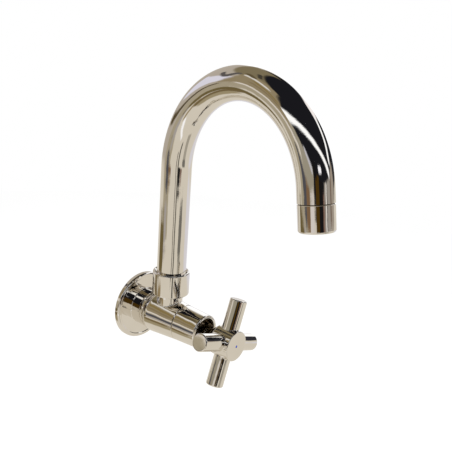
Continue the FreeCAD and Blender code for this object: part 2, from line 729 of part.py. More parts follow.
def aerator_insert():
    seat = MOUTH_STRAIGHT + GROOVE_WIDTH + HOUSING_THREAD_LENGTH
    back = MOUTH_STRAIGHT + GROOVE_WIDTH + OUTLET_NIPPLE_THREAD + 1.5
    barrel_radius = HOUSING_MOUTH_RADIUS - CLOSE_GAP
    flange = Part.makeCylinder(THREAD_AERATOR - CLOSE_GAP, seat - back, FreeCAD.Vector(0, 0, back))
    barrel = Part.makeCylinder(barrel_radius, INSERT_LENGTH, FreeCAD.Vector(0, 0, seat))
    blank = flange.fuse(barrel).removeSplitter()
    jets = hexagonal_grid(HOUSING_MOUTH_RADIUS - 2.2, JET_PITCH)
    return on_mouth(perforated(blank, jets, JET_RADIUS, back, seat + INSERT_LENGTH))


def aerator_strainer():
    back = MOUTH_STRAIGHT + GROOVE_WIDTH + OUTLET_NIPPLE_THREAD + 1.5
    rim = OUTLET_NIPPLE_BORE - FREE_GAP
    dome = turned([
        (0.0, back - 3.4),
        (3.0, back - 3.4, 1.0),
        (rim - 1.0, back - 0.4, 0.6),
        (rim, back - 0.4),
        (rim, back),
        (rim - 1.2, back, 0.4),
        (2.7, back - 3.0, 0.6),
        (0.0, back - 3.0),
    ])
    centres = []
    for ring_radius, count in ((2.2, 6), (4.4, 12), (6.3, 18)):
        for index in range(count):
            angle = 2 * math.pi * index / count
            centres.append((ring_radius * math.cos(angle), ring_radius * math.sin(angle)))
    return on_mouth(perforated(dome, centres, 0.5, back - 4, back + 1))


def aerator_screen():
    back = MOUTH_STRAIGHT + GROOVE_WIDTH + HOUSING_THREAD_LENGTH + INSERT_LENGTH
    radius = HOUSING_MOUTH_RADIUS - CLOSE_GAP
    plate = Part.makeCylinder(radius, SCREEN_THICKNESS, FreeCAD.Vector(0, 0, back))
    centres = hexagonal_grid(radius - 1.0, SCREEN_HOLE_PITCH)
    return on_mouth(perforated(plate, centres, SCREEN_HOLE_RADIUS, back, back + SCREEN_THICKNESS))


PIECES = [
    wall_flange,
    flange_o_ring,
    inlet_nipple,
    inlet_washer,
    valve_body,
    bonnet_sleeve,
    cartridge_body,
    cartridge_body_o_ring,
    cartridge_fixed_disc,
    cartridge_seat_seal,
    cartridge_moving_disc,
    cartridge_spindle,
    spindle_o_rings,
    spindle_thrust_washer,
    spindle_circlip,
    cross_handle,
    handle_grub_screw,
    handle_index_dot,
    spout_collar,
    collar_slip_ring,
    spout_tail,
    spout_o_rings,
    spout_tube,
    outlet_nipple,
    aerator_housing,
    aerator_washer,
    aerator_strainer,
    aerator_insert,
    aerator_screen,
]


def main():
    os.makedirs("parts", exist_ok=True)
    for piece in PIECES:
        shape = piece()
        print(f"{piece.__name__}: {len(shape.Solids)} solid(s), {shape.Volume:.1f} mm3")
        shape.exportStep(f"parts/{piece.__name__}.step")


main()
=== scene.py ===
"""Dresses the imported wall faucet: polished plated castings, a swinging gooseneck and a cross handle.

The wall is the plane y = 0 and the faucet stands out of it towards -Y, with +Z up. Every size is
in millimetres in the classes and is turned into metres where a mesh is made.
"""
import logging
import math
from dataclasses import dataclass
from enum import Enum
from typing import Callable, ClassVar, Sequence

import bpy
import numpy as np
from mathutils import Matrix, Vector


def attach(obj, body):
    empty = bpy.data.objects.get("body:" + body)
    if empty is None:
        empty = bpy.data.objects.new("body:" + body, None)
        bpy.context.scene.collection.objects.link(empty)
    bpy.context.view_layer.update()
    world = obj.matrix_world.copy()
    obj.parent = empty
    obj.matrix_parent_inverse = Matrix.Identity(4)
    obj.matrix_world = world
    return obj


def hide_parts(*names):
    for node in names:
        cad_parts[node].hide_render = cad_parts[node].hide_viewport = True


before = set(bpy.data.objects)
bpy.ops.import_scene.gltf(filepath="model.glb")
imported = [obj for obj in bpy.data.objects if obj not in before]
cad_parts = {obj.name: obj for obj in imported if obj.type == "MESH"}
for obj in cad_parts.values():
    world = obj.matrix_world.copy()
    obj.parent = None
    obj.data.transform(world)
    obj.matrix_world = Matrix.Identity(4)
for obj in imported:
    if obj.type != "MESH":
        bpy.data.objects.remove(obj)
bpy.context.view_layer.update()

LOG = logging.getLogger("wall_faucet")
MM = 0.001
MERGE_DISTANCE = 2e-6
SMOOTH_ANGLE = math.radians(32)
TURN_STEPS = 96
OUTLET_STEPS = 112

Corner = tuple[float, ...]
Point = tuple[float, float]
Piece = bpy.types.Object


# ---- places ---------------------------------------------------------------------------------------
class Place(Enum):
    """Where a piece's own frame stands; its own Z axis is the axis that its stations run along."""

    BODY = "body"
    HANDLE = "handle"
    STEM = "stem"
    SPOUT = "spout"
    MOUTH = "mouth"

    def matrix(self) -> Matrix:
        """Gives the matrix from the piece's own frame to the faucet's frame, in metres."""
        body = Matrix.Rotation(math.radians(90), 4, "X")
        stem = Matrix.Translation((0, -STEM_STATION * MM, 0))
        spout = stem @ Matrix.Rotation(math.radians(SPOUT_SWING - 90), 4, "Z")
        mouth = spout @ Matrix.Translation(bend_end()) @ Matrix.Rotation(math.radians(BEND_ANGLE), 4, "Y")
        handle = body @ Matrix.Rotation(math.radians(-HANDLE_TURN), 4, "Z")
        return {
            Place.BODY: body,
            Place.HANDLE: handle,
            Place.STEM: stem,
            Place.SPOUT: spout,
            Place.MOUTH: mouth,
        }[self]


STEM_STATION = 36.9
SPOUT_SWING = -8.5
HANDLE_TURN = 19.25
BEND_START = 132.8
BEND_RADIUS = 72.8
BEND_ANGLE = 169.3


def bend_end() -> Vector:
    """Gives the end of the spout's bend in the spout's frame, in metres."""
    bend = math.radians(BEND_ANGLE)
    return Vector((BEND_RADIUS * (1 - math.cos(bend)), 0, BEND_START + BEND_RADIUS * math.sin(bend))) * MM


# ---- workshop: shaping with mesh operators ------------------------------------------------------------
def deselect_everything() -> None:
    """Leaves edit mode and deselects every object."""
    if bpy.context.object and bpy.context.object.mode != "OBJECT":
        bpy.ops.object.mode_set(mode="OBJECT")
    bpy.ops.object.select_all(action="DESELECT")


def take(piece: Piece) -> None:
    """Makes a piece the only selected and active object."""
    deselect_everything()
    piece.select_set(True)
    bpy.context.view_layer.objects.active = piece


def edit(piece: Piece) -> None:
    """Opens a piece in edit mode with everything in it selected."""
    take(piece)
    bpy.ops.object.mode_set(mode="EDIT")
    bpy.ops.mesh.select_mode(type="VERT")
    bpy.ops.mesh.select_all(action="SELECT")


def close_edit() -> None:
    """Goes back to object mode."""
    bpy.ops.object.mode_set(mode="OBJECT")


def select_nothing(piece: Piece, mode: str = "VERT") -> None:
    """Deselects the whole of a piece's mesh, for picking by the given kind of element."""
    edit(piece)
    bpy.ops.mesh.select_all(action="DESELECT")
    bpy.ops.mesh.select_mode(type=mode)
    close_edit()


def select_open_edges() -> None:
    """Selects the edges round the holes of the piece in edit mode, and goes back to object mode."""
    bpy.ops.mesh.select_mode(type="EDGE")
    bpy.ops.mesh.select_non_manifold(extend=False, use_wire=False, use_boundary=True,
                                     use_multi_face=False, use_non_contiguous=False, use_verts=False)
    close_edit()


def coordinates(piece: Piece) -> np.ndarray:
    """Reads a piece's points, in metres.

    Args:
        piece: The object, in object mode.

    Returns:
        One row of x, y, z for each point.
    """
    points = np.empty(len(piece.data.vertices) * 3)
    piece.data.vertices.foreach_get("co", points)
    return points.reshape(-1, 3)


def set_coordinates(piece: Piece, points: np.ndarray) -> None:
    """Writes a piece's points back, in metres."""
    piece.data.vertices.foreach_set("co", points.ravel())
    piece.data.update()


def rounded(corners: Sequence[Corner], closed: bool, arc_steps: int = 8) -> list[Point]:
    """Turns corners into outline points, with arcs at the rounded ones.

    A short stretch beside each arc is kept straight by a guard point, so that a flat or conical
    face next to a rounding keeps its own clean reflection.

    Args:
        corners: (radius, station) or (radius, station, rounding), in millimetres.
        closed: Whether the last corner joins the first.
        arc_steps: Steps in a quarter turn of an arc.

    Returns:
        The outline's points, in millimetres.
    """
    guard = 0.15
    count = len(corners)
    spots = [Vector(corner[:2]) for corner in corners]
    points: list[Point] = []
    for index, corner in enumerate(corners):
        rounding = corner[2] if len(corner) > 2 else 0.0
        spot = spots[index]
        if rounding <= 0 or (not closed and index in (0, count - 1)):
            points.append(tuple(spot))
            continue
        before = spots[index - 1] - spot
        after = spots[(index + 1) % count] - spot
        room_before, room_after = before.length, after.length
        before.normalize()
        after.normalize()
        half_angle = before.angle(after) / 2
        cut = rounding / math.tan(half_angle)
        centre = spot + (before + after).normalized() * (rounding / math.sin(half_angle))
        start = spot + before * cut - centre
        swing = (spot + after * cut - centre).angle(start)
        steps = max(2, round(arc_steps * swing / (math.pi / 2)))
        side = 1 if start.x * (spot - centre).y - start.y * (spot - centre).x > 0 else -1
        if room_before > cut + 4 * guard:
            points.append(tuple(spot + before * (cut + guard)))
        for step in range(steps + 1):
            turn = side * swing * step / steps
            points.append((
                centre.x + start.x * math.cos(turn) - start.y * math.sin(turn),
                centre.y + start.x * math.sin(turn) + start.y * math.cos(turn),
            ))
        if room_after > cut + 4 * guard:
            points.append(tuple(spot + after * (cut + guard)))
    return points


def draw_outline(name: str, points: Sequence[Point], closed: bool) -> Piece:
    """Draws an outline of (radius, station) points in the XZ plane, as a chain of edges.

    Args:
        name: The new object's name.
        points: The outline, in millimetres.
        closed: Whether the chain ends where it starts.

    Returns:
        The object, in edit mode, with its chain selected.
    """
    deselect_everything()
    bpy.ops.mesh.primitive_plane_add(size=MM)
    piece = bpy.context.object
    piece.name = piece.data.name = name
    edit(piece)
    bpy.ops.mesh.merge(type="CENTER")
    chain = [Vector((radius, 0, station)) * MM for radius, station in points]
    bpy.ops.transform.translate(value=chain[0])
    if closed:
        chain.append(chain[0])
    for last, spot in zip(chain, chain[1:]):
        bpy.ops.mesh.extrude_vertices_move(TRANSFORM_OT_translate={"value": spot - last})
    bpy.ops.mesh.select_all(action="SELECT")
    bpy.ops.mesh.remove_doubles(threshold=MERGE_DISTANCE / 10)
    return piece


def turned(name: str, points: Sequence[Point], closed: bool = True, steps: int = TURN_STEPS) -> Piece:
    """Turns an outline about its own Z axis.

    Args:
        name: The new object's name.
        points: The outline, in millimetres.
        closed: Whether the outline is a closed chain; an open one starts and ends on the axis.
        steps: Faces round the piece.

    Returns:
        The turned piece, in object mode.
    """
    piece = draw_outline(name, points, closed)
    bpy.ops.mesh.spin(steps=steps, angle=math.tau, center=(0, 0, 0), axis=(0, 0, 1))
    bpy.ops.mesh.select_all(action="SELECT")
    bpy.ops.mesh.remove_doubles(threshold=MERGE_DISTANCE)
    bpy.ops.mesh.normals_make_consistent(inside=False)
    close_edit()
    return piece


def cut_loop(loop: np.ndarray, name: str) -> Piece:
    """Starts a piece as a ring of edges whose points are laid along a loop.

    Args:
        loop: The loop's points, in millimetres.
        name: The new object's name.

    Returns:
        The ring, in object mode.
    """
    deselect_everything()
    bpy.ops.mesh.primitive_circle_add(vertices=len(loop), radius=MM)
    piece = bpy.context.object
    piece.name = piece.data.name = name
    set_coordinates(piece, loop * MM)
    return piece


def select_last_ring(piece: Piece, count: int) -> None:
    """Opens a piece in edit mode with only its last points selected."""
    select_nothing(piece)
    for vertex in piece.data.vertices[len(piece.data.vertices) - count:]:
        vertex.select = True
    bpy.ops.object.mode_set(mode="EDIT")
    bpy.ops.mesh.select_mode(type="VERT")


def extrude_to(piece: Piece, loop: np.ndarray) -> None:
    """Extrudes a piece's last ring and lays the new ring along a loop.

    Args:
        piece: The piece, in object mode, whose last ring is its last points.
        loop: The new ring's points, in millimetres.
    """
    select_last_ring(piece, len(loop))
    bpy.ops.mesh.extrude_region_move()
    close_edit()
    points = coordinates(piece)
    points[-len(loop):] = loop * MM
    set_coordinates(piece, points)


def lofted(name: str, loops: Sequence[np.ndarray], cap_start: bool, cap_end: bool) -> Piece:
    """Draws a ring of edges along a row of loops.

    Args:
        name: The new object's name.
        loops: Rings with the same number of points, in millimetres.
        cap_start: Whether the first ring is drawn together into a point.
        cap_end: Whether the last ring is drawn together into a point.

    Returns:
        The piece, in object mode and in its own frame.
    """
    rows = list(loops)
    if cap_start:
        centre = rows[0].mean(axis=0)
        rows.insert(0, centre + (rows[0] - centre) * 1e-4)
    piece = cut_loop(rows[0], name)
    for loop in rows[1:]:
        extrude_to(piece, loop)
    if cap_end:
        select_last_ring(piece, len(rows[0]))
        bpy.ops.mesh.merge(type="CENTER")
        close_edit()
    if cap_start:
        edit(piece)
        bpy.ops.mesh.remove_doubles(threshold=MERGE_DISTANCE)
        close_edit()
    return piece


def join(main: Piece, others: Sequence[Piece]) -> Piece:
    """Joins pieces into the first one."""
    deselect_everything()
    for piece in others:
        piece.select_set(True)
    main.select_set(True)
    bpy.context.view_layer.objects.active = main
    bpy.ops.object.join()
    return main


def finish_mesh(piece: Piece, place: Place) -> Piece:
    """Stands a shaped piece in its place and smooths its shading.

    Args:
        piece: The piece, in object mode, in its own frame.
        place: The frame that it is stood in.

    Returns:
        The same piece.
    """
    edit(piece)
    bpy.ops.mesh.remove_doubles(threshold=MERGE_DISTANCE)
    bpy.ops.mesh.normals_make_consistent(inside=False)
    close_edit()
    piece.data.transform(place.matrix())
    piece.data.update()
    bpy.ops.object.shade_smooth_by_angle(angle=SMOOTH_ANGLE)
    return piece


@dataclass(frozen=True)
class Window:
    """A window in the side of a turned piece, where a round branch or hole starts.

    The window is as many columns wide as it has rows, so its edge has the same number of points
    as the branch's rings.
    """

    angle: float
    station: float
    low: float
    high: float
    columns: int
    branch_radius: float
    fillet: float
    side: Callable[[np.ndarray], np.ndarray]
    slope: float = 0.0

    @property
    def half_width(self) -> float:
        """Half of the window's width round the turned piece, in degrees."""
        return 180 * self.columns / TURN_STEPS

    @property
    def ring_points(self) -> int:
        """Points in each of the branch's rings."""
        return 4 * self.columns

    def stations(self) -> list[float]:
        """Stations of the window's rows, along the turned piece."""
        return list(np.linspace(self.low, self.high, self.columns + 1))

    def across(self) -> np.ndarray:
        """Angles round the branch, from the turned piece's far end."""
        return np.arange(self.ring_points) * math.tau / self.ring_points

    def stand(self, out: np.ndarray, aside: np.ndarray, station: np.ndarray) -> np.ndarray:
        """Places points given along the branch, aside of it and along the turned piece.

        Args:
            out: Distances from the turned piece's axis along the branch's axis.
            aside: Distances to the side of the branch's axis.
            station: Stations along the turned piece.

        Returns:
            The points in the turned piece's frame, in millimetres.
        """
        turn = math.radians(self.angle)
        x = out * math.cos(turn) - aside * math.sin(turn)
        y = out * math.sin(turn) + aside * math.cos(turn)
        return np.stack([x, y, np.broadcast_to(station, x.shape)], axis=1)

    def root_loops(self, steps: int = 6) -> list[np.ndarray]:
        """Loops of the fillet, as a ball rolled round the root would leave it.

        Args:
            steps: Steps across the fillet.

        Returns:
            The loops from the turned piece's side to the branch's side, in millimetres.
        """
        angles = self.across()
        aside_way, station_way = np.sin(angles), np.cos(angles)
        reach = self.branch_radius + self.fillet
        aside = reach * aside_way
        station = self.station + reach * station_way
        lean = math.sqrt(1 + self.slope ** 2)
        from_axis = self.side(station) + self.fillet * lean
        out = np.sqrt(from_axis ** 2 - aside ** 2)
        rise = np.full_like(out, self.slope)
        to_side = np.stack([-out / from_axis, -aside / from_axis, rise], axis=1) / lean
        to_branch = np.stack([np.zeros_like(out), -aside_way, -station_way], axis=1)
        centre = np.stack([out, aside, station], axis=1)
        if self.fillet <= 0:
            return [self.stand(out, aside, station)]
        spread = np.arccos(np.clip((to_side * to_branch).sum(axis=1), -1, 1))[:, None]
        loops = []
        for step in range(steps + 1):
            share = step / steps
            side_part = np.sin((1 - share) * spread) * to_side
            branch_part = np.sin(share * spread) * to_branch
            spot = centre + self.fillet * ((side_part + branch_part) / np.sin(spread))
            loops.append(self.stand(spot[:, 0], spot[:, 1], spot[:, 2]))
        return loops

    def branch_loop(self, out: float, radius: float | np.ndarray) -> np.ndarray:
        """One flat ring of the branch at a distance from the turned piece's axis."""
        angles = self.across()
        station = self.station + radius * np.cos(angles)
        return self.stand(np.full_like(angles, out), radius * np.sin(angles), station)

    def branch(self, name: str, rings: Sequence[tuple[float | np.ndarray, float]]) -> Piece:
        """Draws the branch from its root to its closed end.

        Args:
            name: The new object's name.
            rings: (radius, distance from the turned piece's axis) of each ring beyond the root.

        Returns:
            The branch, in object mode.
        """
        loops = self.root_loops() + [self.branch_loop(out, radius) for radius, out in rings]
        return lofted(name, loops, cap_start=False, cap_end=True)

    def cut(self, piece: Piece) -> None:
        """Deletes the faces of the turned piece inside the window."""
        select_nothing(piece, "FACE")
        margin = 0.02
        side_tolerance = 0.2
        for face in piece.data.polygons:
            centre = face.center / MM
            distance = math.hypot(centre.x, centre.y)
            turn = (math.degrees(math.atan2(centre.y, centre.x)) - self.angle + 180) % 360 - 180
            on_side = abs(distance - float(self.side(np.array(centre.z)))) < side_tolerance
            inside = self.low + margin < centre.z < self.high - margin
            face.select = on_side and inside and abs(turn) < self.half_width
        bpy.ops.object.mode_set(mode="EDIT")
        bpy.ops.mesh.delete(type="FACE")
        bpy.ops.mesh.select_mode(type="VERT")
        close_edit()

    def bridge(self, piece: Piece, cuts: int = 4) -> None:
        """Bridges the window's edge to the branch's root and lays the bridge on the side.

        Args:
            piece: The turned piece with the branch joined to it.
            cuts: Rings between the window's edge and the root.
        """
        edit(piece)
        select_open_edges()
        slack = 0.5
        row_slack = 0.1
        reach = self.branch_radius + self.fillet + slack
        half_width = math.radians(self.half_width + slack)
        for edge in piece.data.edges:
            if not edge.select:
                continue
            spot = sum((piece.data.vertices[v].co for v in edge.vertices), Vector()) / 2 / MM
            turn = (math.atan2(spot.y, spot.x) - math.radians(self.angle) + math.pi) % math.tau - math.pi
            in_rows = self.low - row_slack < spot.z < self.high + row_slack
            edge.select = abs(turn) < half_width and (in_rows or abs(spot.z - self.station) < reach)
        old_count = len(piece.data.vertices)
        bpy.ops.object.mode_set(mode="EDIT")
        bpy.ops.mesh.bridge_edge_loops(number_cuts=cuts, interpolation="LINEAR")
        bpy.ops.mesh.select_mode(type="VERT")
        close_edit()
        points = coordinates(piece)
        fresh = points[old_count:]
        distance = np.hypot(fresh[:, 0], fresh[:, 1])
        scale = self.side(fresh[:, 2] / MM) * MM / distance
        fresh[:, 0] *= scale
        fresh[:, 1] *= scale
        set_coordinates(piece, points)
        LOG.info("bridged window at %.0f degrees: %d new points", self.angle, len(fresh))


# ---- finishes -------------------------------------------------------------------------------------------
Colour = tuple[float, float, float]
Socket = bpy.types.NodeSocket


class Graph:
    """A node tree that nodes are added to in the order they are used."""

    def __init__(self, tree: bpy.types.NodeTree) -> None:
        """Takes an empty tree."""
        self.tree = tree
        self.column = 0

    def add(self, kind: str, **settings: object) -> bpy.types.Node:
        """Adds a node, with its properties and its unlinked inputs.

        Args:
            kind: The node's type.
            settings: Properties by name, and an "inputs" mapping of sockets to values or links.

        Returns:
            The node.
        """
        node = self.tree.nodes.new(kind)
        node.location = (self.column * 190, 0)
        self.column += 1
        inputs = settings.pop("inputs", {})
        for name, value in settings.items():
            setattr(node, name, value)
        for name, value in inputs.items():
            self.feed(node.inputs[name], value)
        return node

    def feed(self, socket: Socket, value: object) -> None:
        """Links a socket to another one, or sets its value."""
        if isinstance(value, Socket):
            self.tree.links.new(value, socket)
        elif isinstance(value, tuple) and len(value) == 3 and socket.type == "RGBA":
            socket.default_value = (*value, 1.0)
        else:
            socket.default_value = value

    def math(self, operation: str, first: object, second: object = 0.0) -> Socket:
        """Adds a sum, product or other operation of two values."""
        node = self.add("ShaderNodeMath", operation=operation, inputs={0: first, 1: second})
        return node.outputs[0]

    def mix_of(self, first: Socket, second: Socket, share: float) -> Socket:
        """Adds a weighted mean of two values, of which the first has the given share."""
        first_part = self.math("MULTIPLY", first, share)
        return self.math("ADD", first_part, self.math("MULTIPLY", second, 1 - share))

    def spread(self, value: object, low: float, high: float, to_low: float, to_high: float) -> Socket:
        """Adds a smooth change of range."""
        node = self.add("ShaderNodeMapRange", interpolation_type="SMOOTHSTEP", inputs={
            "Value": value, "From Min": low, "From Max": high, "To Min": to_low, "To Max": to_high})
        return node.outputs[0]

    def blend(self, share: object, first: object, second: object) -> Socket:
        """Adds a mix of two colours, which are the node's inputs 6 and 7."""
        node = self.add("ShaderNodeMix", data_type="RGBA")
        self.feed(node.inputs[0], share)
        self.feed(node.inputs[6], first)
        self.feed(node.inputs[7], second)
        return node.outputs[2]


@dataclass
class Effect:
    """A shared effect: a node group with named inputs and outputs."""

    name: str
    inputs: dict[str, float]
    outputs: tuple[str, ...]
    draw: Callable[[Graph, dict, dict], None]

    def group(self) -> bpy.types.NodeTree:
        """Gives the node group, built the first time it is asked for."""
        found = bpy.data.node_groups.get(self.name)
        if found:
            return found
        tree = bpy.data.node_groups.new(self.name, "ShaderNodeTree")
        tree.interface.new_socket(name="Place", in_out="INPUT", socket_type="NodeSocketVector")
        for name, value in self.inputs.items():
            socket = tree.interface.new_socket(name=name, in_out="INPUT", socket_type="NodeSocketFloat")
            socket.default_value = value
        for name in self.outputs:
            tree.interface.new_socket(name=name, in_out="OUTPUT", socket_type="NodeSocketFloat")
        graph = Graph(tree)
        entry = graph.add("NodeGroupInput")
        leave = tree.nodes.new("NodeGroupOutput")
        sources = {socket.name: socket for socket in entry.outputs if socket.name}
        targets = {socket.name: socket for socket in leave.inputs if socket.name}
        self.draw(graph, sources, targets)
        return tree

    def use(self, graph: Graph, place: Socket, **values: float) -> dict[str, Socket]:
        """Places the effect in a material.

        Args:
            graph: The material's graph.
            place: The coordinates that the effect is laid over.
            values: Values for the effect's inputs, with underscores for spaces.

        Returns:
            The effect's outputs by name.
        """
        node = graph.add("ShaderNodeGroup", node_tree=self.group())
        graph.feed(node.inputs["Place"], place)
        for name, value in values.items():
            node.inputs[name.replace("_", " ")].default_value = value
        return {socket.name: socket for socket in node.outputs}


def stretched(graph: Graph, place: Socket, scale: Sequence[float]) -> Socket:
    """Coordinates stretched along their axes."""
    node = graph.add("ShaderNodeVectorMath", operation="MULTIPLY", inputs={0: place, 1: tuple(scale)})
    return node.outputs[0]


def scaled_noise(graph: Graph, place: Socket, scale: Socket | float, detail: float,
                 roughness: float = 0.5) -> Socket:
    """Noise whose scale may come from one of a group's inputs."""
    node = graph.add("ShaderNodeTexNoise", inputs={"Vector": place, "Detail": detail, "Roughness": roughness})
    graph.feed(node.inputs["Scale"], scale)
    return node.outputs[0]


def draw_polish(graph: Graph, source: dict, target: dict) -> None:
    """Buffed metal: a slow waviness, faint buffing lines, and smudges left by hands."""
    waves = scaled_noise(graph, source["Place"], source["Wave Scale"], 1.5)
    lines_place = stretched(graph, source["Place"], (0.35, 0.35, 1.0))
    lines = scaled_noise(graph, lines_place, source["Line Scale"], 2.0)
    smudge = scaled_noise(graph, source["Place"], source["Smudge Scale"], 5.0, 0.62)
    tint = scaled_noise(graph, source["Place"], 38.0, 3.0)
    fine = graph.math("MULTIPLY", lines, source["Line Depth"])
    graph.feed(target["Height"], graph.math("ADD", waves, fine))
    graph.feed(target["Haze"], graph.spread(smudge, 0.44, 0.72, 0.0, 1.0))
    graph.feed(target["Tint"], graph.spread(tint, 0.3, 0.7, 0.0, 1.0))


def draw_turning(graph: Graph, source: dict, target: dict) -> None:
    """Marks of a lathe tool: fine rings round the piece, and a patchy dulling."""
    rings_place = stretched(graph, source["Place"], (0.02, 0.02, 1.0))
    rings = scaled_noise(graph, rings_place, source["Ring Scale"], 3.0, 0.7)
    dull = scaled_noise(graph, source["Place"], 140.0, 5.0, 0.6)
    graph.feed(target["Height"], rings)
    graph.feed(target["Rings"], graph.spread(rings, 0.35, 0.65, 0.0, 1.0))
    graph.feed(target["Dulling"], graph.spread(dull, 0.4, 0.7, 0.0, 1.0))


def draw_speckle(graph: Graph, source: dict, target: dict) -> None:
    """Fine and coarse mottling of moulded, pressed and fired stuff."""
    coarse = scaled_noise(graph, source["Place"], source["Coarse Scale"], 4.0)
    fine = scaled_noise(graph, source["Place"], source["Fine Scale"], 2.0, 0.7)
    graph.feed(target["Coarse"], graph.spread(coarse, 0.35, 0.65, 0.0, 1.0))
    graph.feed(target["Fine"], graph.spread(fine, 0.3, 0.7, 0.0, 1.0))
    graph.feed(target["Height"], graph.math("ADD", fine, graph.math("MULTIPLY", coarse, 0.5)))


POLISH = Effect(
    "polish_marks",
    {"Wave Scale": 45.0, "Line Scale": 2600.0, "Line Depth": 0.02, "Smudge Scale": 55.0},
    ("Height", "Haze", "Tint"),
    draw_polish,
)
TURNING = Effect("turning_marks", {"Ring Scale": 3200.0}, ("Height", "Rings", "Dulling"), draw_turning)
SPECKLE = Effect(
    "speckle", {"Coarse Scale": 120.0, "Fine Scale": 2200.0}, ("Coarse", "Fine", "Height"), draw_speckle)


def start_material(name: str) -> tuple[bpy.types.Material, Graph, bpy.types.Node, Socket]:
    """Starts a material.

    Args:
        name: The material's name.

    Returns:
        The material, its graph, its Principled shader and its Object coordinates.
    """
    material = bpy.data.materials.new(name)
    material.use_nodes = True
    graph = Graph(material.node_tree)
    shader = material.node_tree.nodes["Principled BSDF"]
    place = graph.add("ShaderNodeTexCoord").outputs["Object"]
    return material, graph, shader, place


def add_bump(graph: Graph, shader: bpy.types.Node, height: Socket, depth: float,
             strength: float = 1.0) -> None:
    """Feeds a height, as deep as depth in metres, into a shader's normal."""
    bump = graph.add("ShaderNodeBump", inputs={"Strength": strength, "Distance": depth, "Height": height})
    graph.feed(shader.inputs["Normal"], bump.outputs[0])


def own_frame(graph: Graph, place: Socket, stand: Place) -> Socket:
    """Turns Object coordinates into a piece's own frame, whose Z is its axis."""
    back = stand.matrix().inverted()
    node = graph.add("ShaderNodeMapping", inputs={
        "Vector": place, "Location": tuple(back.translation), "Rotation": tuple(back.to_euler("XYZ"))})
    return node.outputs[0]


@dataclass(frozen=True)
class PolishedPlate:
    """Mirror-polished plating, slightly warm."""

    stand: Place
    colour: Colour = (0.80, 0.77, 0.72)
    deeper: Colour = (0.775, 0.742, 0.685)
    clear: float = 0.015
    hazy: float = 0.05
    wave_depth: float = 0.0004
    name: str = "polished_plate"

    def material(self) -> bpy.types.Material:
        """Builds the material."""
        material, graph, shader, place = start_material(f"{self.name}_{self.stand.value}")
        marks = POLISH.use(graph, own_frame(graph, place, self.stand))
        graph.feed(shader.inputs["Base Color"], graph.blend(marks["Tint"], self.colour, self.deeper))
        graph.feed(shader.inputs["Roughness"], graph.spread(marks["Haze"], 0.0, 1.0, self.clear, self.hazy))
        shader.inputs["Metallic"].default_value = 1.0
        add_bump(graph, shader, marks["Height"], self.wave_depth)
        return material


@dataclass(frozen=True)
class TurnedMetal:
    """Plain turned metal with the lathe's fine rings."""

    stand: Place
    name: str = "turned_brass"
    colour: Colour = (0.78, 0.60, 0.33)
    dulled: Colour = (0.58, 0.41, 0.20)
    smooth: float = 0.2
    rough: float = 0.42
    ring_depth: float = 0.000012

    def material(self) -> bpy.types.Material:
        """Builds the material."""
        material, graph, shader, place = start_material(f"{self.name}_{self.stand.value}")
        marks = TURNING.use(graph, own_frame(graph, place, self.stand))
        share = graph.math("MULTIPLY", marks["Dulling"], 0.8)
        graph.feed(shader.inputs["Base Color"], graph.blend(share, self.colour, self.dulled))
        mixed = graph.mix_of(marks["Rings"], marks["Dulling"], 0.5)
        graph.feed(shader.inputs["Roughness"], graph.spread(mixed, 0.0, 1.0, self.smooth, self.rough))
        shader.inputs["Metallic"].default_value = 1.0
        add_bump(graph, shader, marks["Height"], self.ring_depth)
        return material


@dataclass(frozen=True)
class Moulded:
    """Rubber, fibre, ceramic, plastic or enamel: one stuff, faintly mottled."""

    name: str
    colour: Colour
    mottle: Colour
    smooth: float
    rough: float
    coarse_scale: float = 120.0
    fine_scale: float = 2200.0
    grain_depth: float = 0.00001
    coat: float = 0.0

    def material(self) -> bpy.types.Material:
        """Builds the material."""
        material, graph, shader, place = start_material(self.name)
        marks = SPECKLE.use(graph, place, Coarse_Scale=self.coarse_scale, Fine_Scale=self.fine_scale)
        share = graph.mix_of(marks["Coarse"], marks["Fine"], 0.6)
        graph.feed(shader.inputs["Base Color"], graph.blend(share, self.colour, self.mottle))
        graph.feed(shader.inputs["Roughness"], graph.spread(marks["Fine"], 0.0, 1.0, self.smooth, self.rough))
        shader.inputs["Coat Weight"].default_value = self.coat
        add_bump(graph, shader, marks["Height"], self.grain_depth)
        return material


RUBBER = Moulded("seal_rubber", (0.022, 0.022, 0.023), (0.045, 0.044, 0.043), 0.5, 0.75)
FIBRE = Moulded("fibre_washer", (0.42, 0.10, 0.06), (0.28, 0.06, 0.035), 0.6, 0.85, 400.0, 5000.0, 0.00003)
CERAMIC = Moulded("disc_ceramic", (0.90, 0.89, 0.86), (0.84, 0.83, 0.79), 0.12, 0.22)
ACETAL = Moulded("slip_plastic", (0.86, 0.86, 0.82), (0.80, 0.80, 0.75), 0.3, 0.45)
JET_PLASTIC = Moulded("aerator_plastic", (0.80, 0.82, 0.82), (0.70, 0.73, 0.74), 0.35, 0.5)
ENAMEL = Moulded(
    "blue_index", (0.05, 0.10, 0.55), (0.035, 0.07, 0.44), 0.12, 0.25, 900.0, 9000.0, 0.000004, 0.6)


class Part:
    """A piece of the faucet that stands for a CAD node."""

    body: ClassVar[str] = "tap_body"
    node: ClassVar[str]
    stand: ClassVar[Place] = Place.BODY
    slot: ClassVar[str] = "polished_plate"
    finish: ClassVar[str] = ""

    def build(self) -> Piece:
        """Builds the piece's mesh in its own frame."""
        raise NotImplementedError

    def dress(self, piece: Piece) -> None:
        """Gives the piece its finish, which is its slot's own unless the class names another."""
        piece.data.materials.clear()
        piece.data.materials.append(finish_for(self.finish or self.slot, self.stand))

    def fit(self) -> None:
        """Builds the piece, stands it in its place, dresses it and fixes it to its body."""
        piece = finish_mesh(self.build(), self.stand)
        self.dress(piece)
        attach(piece, self.body)
        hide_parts(self.node)
        LOG.info("%s: %d faces, for %s", piece.name, len(piece.data.polygons), self.node)


